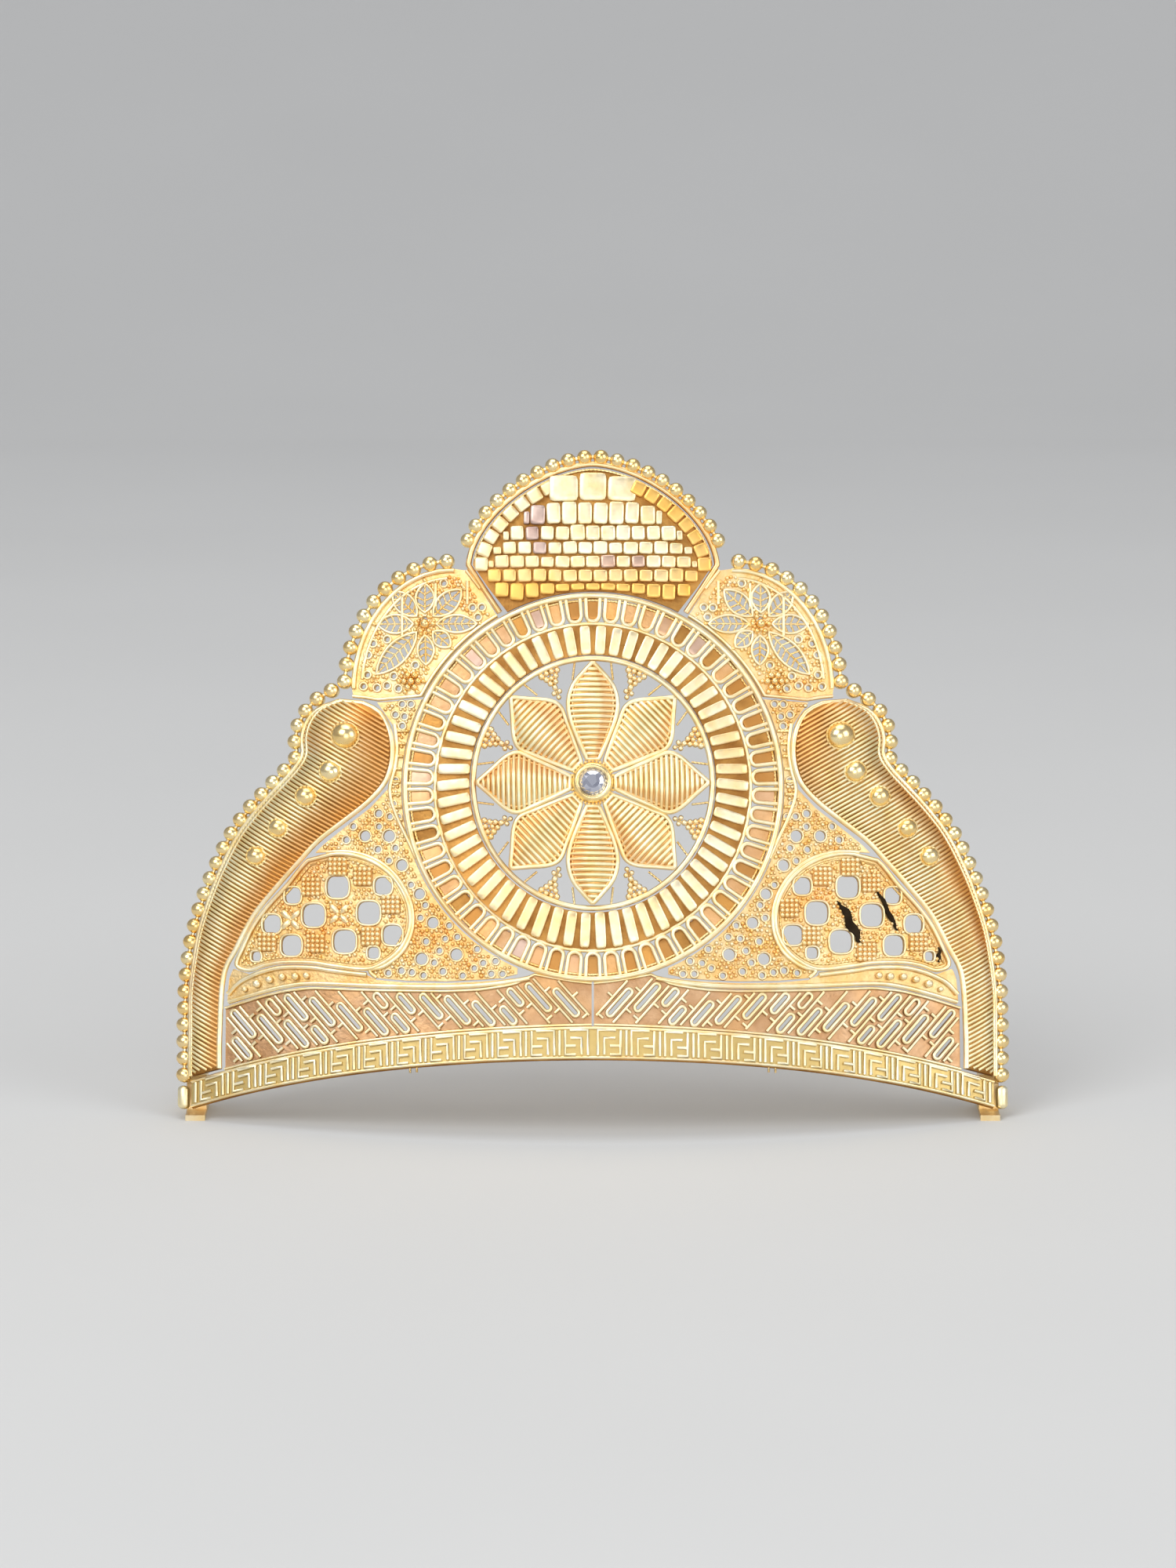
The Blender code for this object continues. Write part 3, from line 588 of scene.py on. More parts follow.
class Recipe:
    """A Geometry Nodes tree with named inputs, run once for each set of guides."""

    def __init__(self, name: str, inputs: dict[str, tuple[str, object]]) -> None:
        """Makes the tree and its sockets.

        Args:
            name: The name of the tree.
            inputs: The kind and the first value of each named input.
        """
        self.tree = bpy.data.node_groups.new(name, "GeometryNodeTree")
        face = self.tree.interface
        face.new_socket("Geometry", in_out="INPUT", socket_type="NodeSocketGeometry")
        face.new_socket("Geometry", in_out="OUTPUT", socket_type="NodeSocketGeometry")
        for label, (kind, value) in inputs.items():
            socket = face.new_socket(label, in_out="INPUT", socket_type=f"NodeSocket{kind}")
            if value is not None:
                socket.default_value = value
        self.desk = NodeDesk(self.tree)
        self.start = self.desk.add("NodeGroupInput")
        self.end = self.desk.add("NodeGroupOutput")

    def finish(self, node: Node, output: str) -> None:
        """Ends the tree: instances made real, smooth faces and the material."""
        real = self.desk.feed(node, output, "GeometryNodeRealizeInstances", "Geometry")
        shade = self.desk.feed(real, "Geometry", "GeometryNodeSetShadeSmooth", "Geometry")
        dress = self.desk.feed(shade, "Geometry", "GeometryNodeSetMaterial", "Geometry")
        self.desk.join(self.start, "Finish", dress, "Material")
        self.desk.join(dress, "Geometry", self.end, "Geometry")

    def run(self, guide: Mesh, values: dict[str, object]) -> Mesh:
        """Runs the tree on a guide mesh.

        Args:
            guide: The mesh whose edges or points the tree reads. It is used up.
            values: The value of each named input.

        Returns:
            A plain mesh in the drawing's millimetres.
        """
        item = linked("guide", guide)
        modifier = item.modifiers.new("recipe", "NODES")
        modifier.node_group = self.tree
        for socket in self.tree.interface.items_tree:
            if socket.item_type == "SOCKET" and socket.in_out == "INPUT" and socket.name in values:
                modifier[socket.identifier] = values[socket.name]
        graph = bpy.context.evaluated_depsgraph_get()
        made = bpy.data.meshes.new_from_object(item.evaluated_get(graph), depsgraph=graph)
        bpy.data.objects.remove(item)
        bpy.data.meshes.remove(guide)
        return made


def marked(recipe: Recipe, source: Feed, name: str, value: Feed) -> Node:
    """Stores a value on every point of a curve, under a name.

    Args:
        recipe: The recipe that gets the node.
        source: The node that gives the curve, and its output.
        name: The name of the value.
        value: The node that gives the value, and its output.

    Returns:
        The node that stores it.
    """
    kind = "GeometryNodeStoreNamedAttribute"
    node = recipe.desk.feed(*source, kind, "Geometry", data_type="FLOAT", domain="POINT")
    recipe.desk.give(node, Name=name)
    recipe.desk.join(*value, node, "Value")
    return node


def wire_recipe() -> Recipe:
    """A round wire along every line of the guide, marked with the places along and around it."""
    inputs = {
        "Wire radius": ("Float", 0.3),
        "Sides": ("Int", 6),
        "Turn": ("Float", 0.0),
        "Finish": ("Material", None),
    }
    recipe = Recipe("wire_along_lines", inputs)
    desk, start = recipe.desk, recipe.start
    curve = desk.feed(start, "Geometry", "GeometryNodeMeshToCurve", "Mesh")
    place = desk.add("GeometryNodeSplineParameter")
    along = marked(recipe, (curve, "Curve"), "along", (place, "Length"))
    section = desk.feed(start, "Sides", "GeometryNodeCurvePrimitiveCircle", "Resolution")
    desk.join(start, "Wire radius", section, "Radius")
    turned = desk.feed(section, "Curve", "GeometryNodeTransform", "Geometry")
    turn = desk.feed(start, "Turn", "ShaderNodeCombineXYZ", "Z")
    desk.join(turn, "Vector", turned, "Rotation")
    around = marked(recipe, (turned, "Geometry"), "around", (place, "Factor"))
    steady = desk.feed(along, "Geometry", "GeometryNodeSetCurveNormal", "Curve")
    if hasattr(steady, "mode"):
        steady.mode = "Z_UP"
    tube = desk.feed(steady, "Curve", "GeometryNodeCurveToMesh", "Curve")
    desk.join(around, "Geometry", tube, "Profile Curve")
    desk.give(tube, Fill_Caps=True)
    recipe.finish(tube, "Mesh")
    return recipe


SHAPE_INPUTS = {
    "Shape": ("Object", None),
    "Wobble": ("Float", 0.0),
    "Seed": ("Int", SEED),
    "Finish": ("Material", None),
}


def row_recipe() -> Recipe:
    """A row of one shape along every line of the guide, each turned with the line."""
    recipe = Recipe("row_along_lines", {"Count": ("Int", 10), "Size": ("Float", 1.0), **SHAPE_INPUTS})
    desk, start = recipe.desk, recipe.start
    curve = desk.feed(start, "Geometry", "GeometryNodeMeshToCurve", "Mesh")
    even = desk.feed(curve, "Curve", "GeometryNodeResampleCurve", "Curve")
    desk.join(start, "Count", even, "Count")
    tangent = desk.add("GeometryNodeInputTangent")
    kind = "FunctionNodeAlignRotationToVector"
    turn = desk.feed(tangent, "Tangent", kind, "Vector", axis="X", pivot_axis="Z")
    place_shape(recipe, (even, "Curve"), (turn, "Rotation"), (start, "Size"))
    return recipe


def spot_recipe() -> Recipe:
    """One shape on every point of the guide, with the point's own size and turn."""
    recipe = Recipe("shape_on_points", SHAPE_INPUTS)
    desk, start = recipe.desk, recipe.start
    size = desk.add("GeometryNodeInputNamedAttribute", data_type="FLOAT_VECTOR")
    desk.give(size, Name="size")
    angle = desk.add("GeometryNodeInputNamedAttribute", data_type="FLOAT")
    desk.give(angle, Name="turn")
    turn = desk.feed(angle, "Attribute", "ShaderNodeCombineXYZ", "Z")
    points = desk.feed(start, "Geometry", "GeometryNodeMeshToPoints", "Mesh")
    place_shape(recipe, (points, "Points"), (turn, "Vector"), (size, "Attribute"))
    return recipe


def place_shape(recipe: Recipe, carrier: Feed, turn: Feed, size: Feed) -> None:
    """Puts the recipe's shape on points, a little uneven in size, and ends the tree.

    Args:
        recipe: The recipe, with the inputs Shape, Wobble and Seed.
        carrier: The node that gives the points, and its output.
        turn: The node that gives each shape's rotation, and its output.
        size: The node that gives each shape's size, and its output.
    """
    desk, start = recipe.desk, recipe.start
    shape = desk.feed(start, "Shape", "GeometryNodeObjectInfo", "Object")
    chance = desk.feed(start, "Seed", "FunctionNodeRandomValue", "Seed", data_type="FLOAT")
    desk.give(chance, Min=-1.0, Max=1.0)
    uneven = desk.add("ShaderNodeMath", operation="MULTIPLY_ADD")
    uneven.inputs[2].default_value = 1.0
    desk.tree.links.new(desk.output(chance, "Value"), uneven.inputs[0])
    desk.tree.links.new(desk.output(start, "Wobble"), uneven.inputs[1])
    scaled = desk.add("ShaderNodeVectorMath", operation="SCALE")
    desk.tree.links.new(desk.output(*size), scaled.inputs[0])
    desk.tree.links.new(uneven.outputs[0], scaled.inputs["Scale"])
    placed = desk.feed(*carrier, "GeometryNodeInstanceOnPoints", "Points")
    desk.join(shape, "Geometry", placed, "Instance")
    desk.join(*turn, placed, "Rotation")
    desk.join(scaled, "Vector", placed, "Scale")
    recipe.finish(placed, "Instances")


class Form(Enum):
    """The small shapes that are set in rows or on spots, each one millimetre in size."""

    BEAD = "bead"
    GRANULE = "granule"
    TILE = "tile"
    DOME = "dome"


DOME_RING = circle((0.0, 0.0), 1.0, 24)
DOME_RISE = [(math.cos(math.radians(a)), math.sin(math.radians(a))) for a in (0, 14, 28, 42, 56, 70, 82)]


def small_form(form: Form) -> Mesh:
    """Makes the mesh of a small shape.

    Args:
        form: Which of them.

    Returns:
        The mesh: a ball or half ball of radius 1, or a cushioned tile of side 1 that stands on its back.
    """
    mesh = bmesh.new()
    if form is Form.BEAD:
        bmesh.ops.create_uvsphere(mesh, u_segments=16, v_segments=10, radius=1.0)
    elif form is Form.GRANULE:
        bmesh.ops.create_uvsphere(mesh, u_segments=8, v_segments=5, radius=1.0)
    elif form is Form.TILE:
        bmesh.ops.create_cube(mesh, size=1.0)
        bmesh.ops.bevel(mesh, geom=list(mesh.edges), offset=0.2, segments=2, affect="EDGES", profile=0.6)
        bmesh.ops.translate(mesh, verts=mesh.verts, vec=(0.0, 0.0, 0.5))
    else:
        rings = [[mesh.verts.new((x * wide, y * wide, up)) for x, y in DOME_RING] for wide, up in DOME_RISE]
        for lower, upper in zip(rings, rings[1:]):
            wall(mesh, lower, upper)
        mesh.faces.new(rings[0][::-1])
        mesh.faces.new(rings[-1])
        bmesh.ops.recalc_face_normals(mesh, faces=mesh.faces)
    return kept(mesh, form.value)


def wall(mesh: bmesh.types.BMesh, lower: list, upper: list) -> None:
    """Joins two closed loops of vertices."""
    for i in range(len(lower)):
        j = (i + 1) % len(lower)
        mesh.faces.new((lower[i], lower[j], upper[j], upper[i]))


def cover(mesh: bmesh.types.BMesh, layer: list, loops: list[Line]) -> None:
    """Fills the first loop with triangles and leaves the others open.

    Args:
        mesh: The mesh that gets the faces.
        layer: The vertices of each loop.
        loops: The loops in the plane: the outline, then its holes.
    """
    corners = [vertex for ring in layer for vertex in ring]
    places = [spot for loop in loops for spot in loop]
    edges, first = [], 0
    for loop in loops:
        edges += [(first + i, first + (i + 1) % len(loop)) for i in range(len(loop))]
        first += len(loop)
    _, _, faces, origins, _, _ = delaunay_2d_cdt([Vector(spot) for spot in places], edges, [], 0, 1e-6)
    for face in faces:
        picks = [origins[i][0] for i in face]
        x, y = (sum(places[i][axis] for i in picks) / 3 for axis in (0, 1))
        if within(x, y, loops[0]) and not any(within(x, y, hole) for hole in loops[1:]):
            mesh.faces.new([corners[i] for i in picks])


@dataclass
class Workshop:
    """Makes meshes in the drawing and turns them into finished pieces of the crown."""

    drawing: Drawing
    finishes: dict[Metal, bpy.types.Material] = field(default_factory=dict)
    forms: dict[Form, bpy.types.Object] = field(default_factory=dict)
    recipes: dict[str, Recipe] = field(default_factory=dict)

    def open(self) -> None:
        """Makes the finishes, the small shapes and the recipes."""
        for finish in FINISHES:
            self.finishes[finish.metal] = finish.build()
        for form in Form:
            self.forms[form] = bpy.data.objects.new(form.value, small_form(form))
        self.recipes = {"wire": wire_recipe(), "row": row_recipe(), "spot": spot_recipe()}

    def close(self) -> None:
        """Takes the small shapes out of the scene again."""
        for item in self.forms.values():
            bpy.data.objects.remove(item)

    def guide(self, routes: list[Route]) -> Mesh:
        """A mesh of lines, with the warmth of each point."""
        points, edges, warmth = [], [], []
        for route in routes:
            first, count = len(points), len(route.points)
            points += route.points
            warmth += route.warmth or [0.0] * count
            edges += [(first + i, first + i + 1) for i in range(count - 1)]
            if route.closed:
                edges.append((first + count - 1, first))
        mesh = bpy.data.meshes.new("guide")
        mesh.from_pydata(points, edges, [])
        mesh.attributes.new("warmth", "FLOAT", "POINT").data.foreach_set("value", warmth)
        return mesh

    def wires(
        self, routes: list[Route], metal: Metal, radius: float, sides: int = 6, turn: float = 0.0
    ) -> Mesh:
        """Round wires along routes.

        Args:
            routes: The lines in the drawing.
            metal: The finish.
            radius: The wire's radius.
            sides: The sides of its section.
            turn: How far the section is turned.

        Returns:
            The mesh of all the wires.
        """
        values = {"Wire radius": radius, "Sides": sides, "Turn": turn, "Finish": self.finishes[metal]}
        return self.recipes["wire"].run(self.guide(routes), values)

    def row(
        self, route: Route, form: Form, metal: Metal, count: int, size: float, wobble: float = 0.02
    ) -> Mesh:
        """One small shape repeated evenly along a route.

        Args:
            route: The line in the drawing.
            form: The shape.
            metal: The finish.
            count: How many.
            size: The size of each.
            wobble: How uneven the sizes are, as a share.

        Returns:
            The mesh of the whole row.
        """
        values = {
            "Shape": self.forms[form],
            "Count": count,
            "Size": size,
            "Wobble": wobble,
            "Seed": SEED,
            "Finish": self.finishes[metal],
        }
        return self.recipes["row"].run(self.guide([route]), values)

    def spots(self, rows: Line, form: Form, metal: Metal, wobble: float = 0.05) -> Mesh:
        """One small shape on each spot.

        Args:
            rows: Across, up, out, the three sizes, the turn in radians and the warmth.
            form: The shape.
            metal: The finish.
            wobble: How uneven the sizes are, as a share.

        Returns:
            The mesh of all the shapes.
        """
        columns = np.array(rows, np.float32)
        mesh = bpy.data.meshes.new("spots")
        mesh.from_pydata(columns[:, :3].tolist(), [], [])
        mesh.attributes.new("size", "FLOAT_VECTOR", "POINT").data.foreach_set("vector", columns[:, 3:6].ravel())
        for column, name in enumerate(("turn", "warmth"), 6):
            mesh.attributes.new(name, "FLOAT", "POINT").data.foreach_set("value", columns[:, column].copy())
        values = {"Shape": self.forms[form], "Wobble": wobble, "Seed": SEED, "Finish": self.finishes[metal]}
        return self.recipes["spot"].run(mesh, values)

    def granules(self, rows: Line, metal: Metal, warmth: float) -> Mesh:
        """Small balls, from rows of across, up, out and radius."""
        spots = [(x, y, out, radius, radius, radius, 0.0, warmth) for x, y, out, radius in rows]
        return self.spots(spots, Form.GRANULE, metal)

    def strew(
        self, outline: Line, bare: list[Line], side: Side, pitch: float, radius: float, out: float
    ) -> list[Mesh]:
        """Granules of two finishes strewn over a field on one half of the crown.

        Args:
            outline: The closed outline of the field on the right half.
            bare: The loops that stay bare.
            side: The half that is strewn.
            pitch: The usual distance between two granules.
            radius: Their usual radius.
            out: The depth of their middles.

        Returns:
            One mesh for each finish.
        """
        chance = np.random.default_rng(23)
        rows: dict[Metal, Line] = {Metal.FILIGREE: [], Metal.PALE: []}
        for x, y in strewn(mirrored(outline, side), [mirrored(loop, side) for loop in bare], pitch):
            size = radius * chance.uniform(0.8, 1.2)
            warm = max(0.0, chance.uniform(-0.5, 0.7))
            rows[list(rows)[int(chance.integers(0, 2))]].append((x, y, out, size, size, size, 0.0, warm))
        return [self.spots(spots, Form.GRANULE, metal) for metal, spots in rows.items()]

    def plate(self, outline: Line, holes: list[Line], back: float, front: float, metal: Metal) -> Mesh:
        """A flat plate with holes cut through it.

        Args:
            outline: The closed outline.
            holes: The closed loops that stay open.
            back: The depth of its back.
            front: The depth of its front.
            metal: The finish.

        Returns:
            The closed mesh of the plate.
        """
        mesh = bmesh.new()
        loops = [outline, *holes]
        layers = [[[mesh.verts.new((x, y, out)) for x, y in loop] for loop in loops] for out in (back, front)]
        for layer in layers:
            cover(mesh, layer, loops)
        for lower, upper in zip(*layers):
            wall(mesh, lower, upper)
        return self.closed(mesh, metal, False)

    def sheet(self, outline: Line, holes: list[Line], front: float, metal: Metal, side: Side) -> Mesh:
        """A plate with the usual back, on one half of the crown."""
        loops = [mirrored(loop, side) for loop in (outline, *holes)]
        return self.plate(loops[0], loops[1:], SHEET_BACK, front, metal)

    def loft(self, sections: list[Line], metal: Metal, closed: bool = False, soft: bool = True) -> Mesh:
        """A skin over sections with the same number of points.

        Args:
            sections: The closed sections, in order.
            metal: The finish.
            closed: Whether the last section joins the first.
            soft: Whether the faces are shaded smooth.

        Returns:
            The closed mesh.
        """
        mesh = bmesh.new()
        rings = [[mesh.verts.new(point) for point in section] for section in sections]
        for first, second in zip(rings, rings[1:]):
            wall(mesh, first, second)
        if closed:
            wall(mesh, rings[-1], rings[0])
        else:
            mesh.faces.new(rings[0])
            mesh.faces.new(rings[-1])
        return self.closed(mesh, metal, soft)

    def closed(self, mesh: bmesh.types.BMesh, metal: Metal, soft: bool) -> Mesh:
        """Turns a closed working mesh into one that faces out and has its finish."""
        bmesh.ops.recalc_face_normals(mesh, faces=mesh.faces)
        data = kept(mesh, metal.value)
        data.polygons.foreach_set("use_smooth", [soft] * len(data.polygons))
        data.materials.append(self.finishes[metal])
        return data

    def piece(self, name: str, meshes: list[Mesh], metal: Metal, *nodes: str) -> bpy.types.Object:
        """Joins meshes of the drawing into one finished piece on the crown.

        Args:
            name: The piece's name.
            meshes: Its meshes, in the drawing's millimetres.
            metal: Its main finish; not used.
            *nodes: The solids that it stands for.

        Returns:
            The piece, with its place in its mesh.
        """
        items = [linked(name, mesh) for mesh in meshes]
        whole = items[0]
        if len(items) > 1:
            chosen = {"active_object": whole, "object": whole, "selected_editable_objects": items}
            with bpy.context.temp_override(**chosen):
                bpy.ops.object.join()
        whole.name = name
        mesh = whole.data
        points = np.empty(len(mesh.vertices) * 3, np.float32)
        mesh.vertices.foreach_get("co", points)
        points = points.reshape(-1, 3).astype(float)
        # The height sets the finishes' painted shade in recesses.
        heights = mesh.attributes.new("height", "FLOAT", "POINT")
        heights.data.foreach_set("value", points[:, 2].astype(np.float32))
        mesh.vertices.foreach_set("co", self.drawing.place(points).astype(np.float32).ravel())
        mesh.update()
        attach(whole, "root")
        if nodes:
            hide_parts(*nodes)
        LOG.info("%s: %d faces, for %s", name, len(mesh.polygons), ", ".join(nodes) or "its neighbours")
        return whole


@dataclass
class BeadRows:
    """The row of round beads round the whole outline."""

    radius: float = 1.38
    pitch: float = 2.95
    core: float = 0.36
    draw_in: float = 0.62
    out: float = 0.25
    crest_from: float = 103.3
    crest_margin: float = 1.3
    shoulder_margin: float = 1.65
    arm: Line = table(
        (47.4, 76.6), (50.6, 74.6), (52.9, 71.6), (53.9, 68.2), (53.7, 64.9), (55.2, 62.9), (57.9, 60.1),
        (61.9, 55.8), (65.3, 51.2), (68.2, 45.4), (70.6, 39.3), (72.4, 33.2), (73.4, 27.0), (73.8, 20.0),
        (73.8, 7.6),
    )

    def build(self, shop: Workshop) -> None:
        """Makes the rows of the crest, the shoulders and the arms."""
        arch = Crest().arch(-self.crest_margin, 97)
        self._row(shop, "crest_bead_row", [spot for spot in arch if spot[1] > self.crest_from], "crest_beads")
        radii = widened(Shoulders().radii, self.shoulder_margin)
        shoulder = ellipse(Shoulders().centre, radii, 88.0, 4.0, 48)
        arm = [(x - self.draw_in, y) for x, y in smooth(self.arm, 6)]
        for side in Side:
            for part, path in (("shoulder", shoulder), ("arm", arm)):
                name, node = f"{part}_bead_row_{side.word}", f"{part}_beads_{side.word}"
                self._row(shop, name, mirrored(path, side), node)

    def _row(self, shop: Workshop, name: str, path: Line, node: str) -> None:
        """One row: the beads and the wire that they are soldered to."""
        route = Route(lifted(path, self.out))
        count = round(length_of(path) / self.pitch) + 1
        beads = shop.row(route, Form.BEAD, Metal.POLISHED, count, self.radius)
        shop.piece(name, [beads, shop.wires([route], Metal.PLAIN_WIRE, self.core)], Metal.POLISHED, node)


@dataclass
class Crest:
    """The raised middle: an arch of wire filled with staggered rows of small upright tiles."""

    foot_up: float = 99.0
    half: float = 22.2
    rise: float = 18.2
    power: float = 1.68
    leg: Line = table((16.6, 90.5), (19.6, 95.0))
    field_side: Spot = (18.6, 94.9)
    field_foot: Spot = (116.5, 63.5)
    wide_tiles: float = 7.9
    edge_tiles: float = 3.55
    edge_in: float = 2.35
    edge_pitch: float = 2.6
    tile_rise: float = 0.75
    rows: Line = table(
        # lower edge, upper edge, pitch
        (110.5, 116.2, 5.2),
        (106.3, 110.3, 2.8),
        (103.4, 106.1, 2.7),
        (100.9, 103.2, 2.7),
        (98.5, 100.7, 2.7),
        (95.9, 98.3, 2.7),
        (92.6, 95.7, 2.7),
        (89.6, 92.4, 2.7),
    )

    def arch(self, shrink: float, count: int) -> Line:
        """The arch from its right foot over the top to its left foot, drawn in by a margin."""
        half, rise, power = self.half - shrink, self.rise - shrink, 2.0 / self.power
        points = []
        for i in range(count):
            angle = math.pi * i / (count - 1)
            across = math.copysign(abs(math.cos(angle)) ** power, math.cos(angle))
            points.append((half * across, self.foot_up + rise * math.sin(angle) ** power))
        return points

    def build(self, shop: Workshop) -> None:
        """Makes the rim, the backing and the tiles."""
        outer = [*self.leg, *self.arch(0.0, 81), *mirrored(self.leg, Side.LEFT)[::-1]]
        rim = shop.wires([Route(lifted(outer, 0.3), warmth=(0.45,) * len(outer))], Metal.PLAIN_WIRE, 0.52, 10)
        line = [spot for spot in self.arch(1.05, 81) if spot[1] > self.foot_up + 0.5]
        thin = shop.wires([Route(lifted(line, 0.55))], Metal.FILIGREE, 0.22)
        shop.piece("crest_rim_wires", [rim, thin], Metal.PLAIN_WIRE, "crest_frame")
        foot = Medallion().rim(RING_GAP, *self.field_foot, 25)
        outline = self.arch(0.8, 61) + mirrored([self.field_side], Side.LEFT) + foot + [self.field_side]
        # The backing is dark as painted shade where it shows in the gaps between the tiles.
        backing = shop.plate(outline, [], SHEET_BACK, 0.3, Metal.SHADE)
        shop.piece("crest_backing", [backing], Metal.PALE, "crest_field")
        chance = np.random.default_rng(31)
        kinds: dict[Metal, Line] = {Metal.PALE: self._edge_tiles(), Metal.KEY: [], Metal.MAUVE: []}
        for row in self._tiles():
            plain = row[7] > 0.3 or row[3] > 4.0
            kind = Metal.PALE if plain else list(kinds)[int(chance.choice(3, p=(0.64, 0.26, 0.10)))]
            kinds[kind].append(row)
        tiles = [shop.spots(rows, Form.TILE, metal, 0.06) for metal, rows in kinds.items()]
        shop.piece("crest_tiles", tiles, Metal.PALE, "crest_field")

    def _limits(self, across: float) -> Spot:
        """The lowest and the highest place inside the field at a distance from the middle."""
        ring = Medallion()
        radii = widened(ring.outer_ring, 0.95)
        low = ring.up + radii[1] * math.sqrt(1.0 - (across / radii[0]) ** 2)
        margin = 1.1 if abs(across) < self.wide_tiles else self.edge_tiles
        share = min(abs(across) / (self.half - margin), 1.0)
        high = self.foot_up + (self.rise - margin) * (1.0 - share**self.power) ** (1.0 / self.power)
        start, corner = self.leg
        past_start, past_corner = (abs(across) - place[0] + 1.0 for place in self.leg)
        if past_start > 0.0:
            low = max(low, start[1] + past_start * (corner[1] - start[1]) / (corner[0] - start[0]))
        if past_corner > 0.0:
            low = max(low, corner[1] + past_corner * (self.foot_up - corner[1]) / (self.half - corner[0]))
        return low, high

    def _edge_tiles(self) -> Line:
        """The spots of the slanted tiles that follow the arch, golden on the right."""
        arch = self.arch(self.edge_in, 400)
        path = [spot for spot in arch if abs(spot[0]) > self.wide_tiles and spot[1] > self.foot_up]
        spots, last = [], None
        for here, follow in zip(path, path[1:]):
            if last and math.dist(here, last) < self.edge_pitch:
                continue
            last = here
            turn = math.atan2(follow[1] - here[1], follow[0] - here[0])
            spots.append((*here, 0.32, 2.4, 2.35, self.tile_rise, turn, 0.8 if here[0] > 0.0 else 0.2))
        return spots

    def _tiles(self) -> Line:
        """The spots of the tiles, each cut down to the field."""
        spots: Line = []
        chance = np.random.default_rng(5)
        for row, (low, high, pitch) in enumerate(self.rows):
            columns = [(column + 0.5 * (row % 2)) * pitch for column in range(-10, 11)]
            places = [(across, pitch - 0.22) for across in columns if self._fits(across, pitch, low, high)]
            if row and places:
                outside = places[-1][0] + 0.5 * pitch
                limit = outside
                while self._fits(limit, 0.0, low, high):
                    limit += 0.1
                if limit - outside > 0.7:
                    places += [(side * 0.5 * (outside + limit), limit - outside - 0.15) for side in (-1, 1)]
            for across, wide in places:
                ends = [self._limits(across + 0.5 * wide * side) for side in (-1, 1)]
                floor = max(low, *(end[0] for end in ends))
                top = min(high, *(end[1] for end in ends)) if row else 0.5 * (ends[0][1] + ends[1][1])
                top += chance.uniform(-0.25, 0.05)
                if top - floor < 0.8:
                    continue
                warm = min(max(0.0, (99.5 - low) / 7.0) + 0.35 * max(0.0, (abs(across) - 13.0) / 8.0), 0.9)
                out = 0.2 + chance.uniform(0.0, 0.2)
                turn = chance.uniform(-0.05, 0.05)
                place = (across, 0.5 * (floor + top), out)
                spots.append((*place, wide, top - floor, self.tile_rise, turn, warm))
        return spots

    def _fits(self, across: float, wide: float, low: float, high: float) -> bool:
        """Whether most of a row's height is free over the width of a tile."""
        if abs(across) + 0.5 * wide > self.half - 1.2:
            return False
        ends = [self._limits(across + 0.5 * wide * side) for side in (-1, 1)]
        return min(end[1] for end in ends) - 0.6 * (high - low) > max(low, *(end[0] for end in ends))


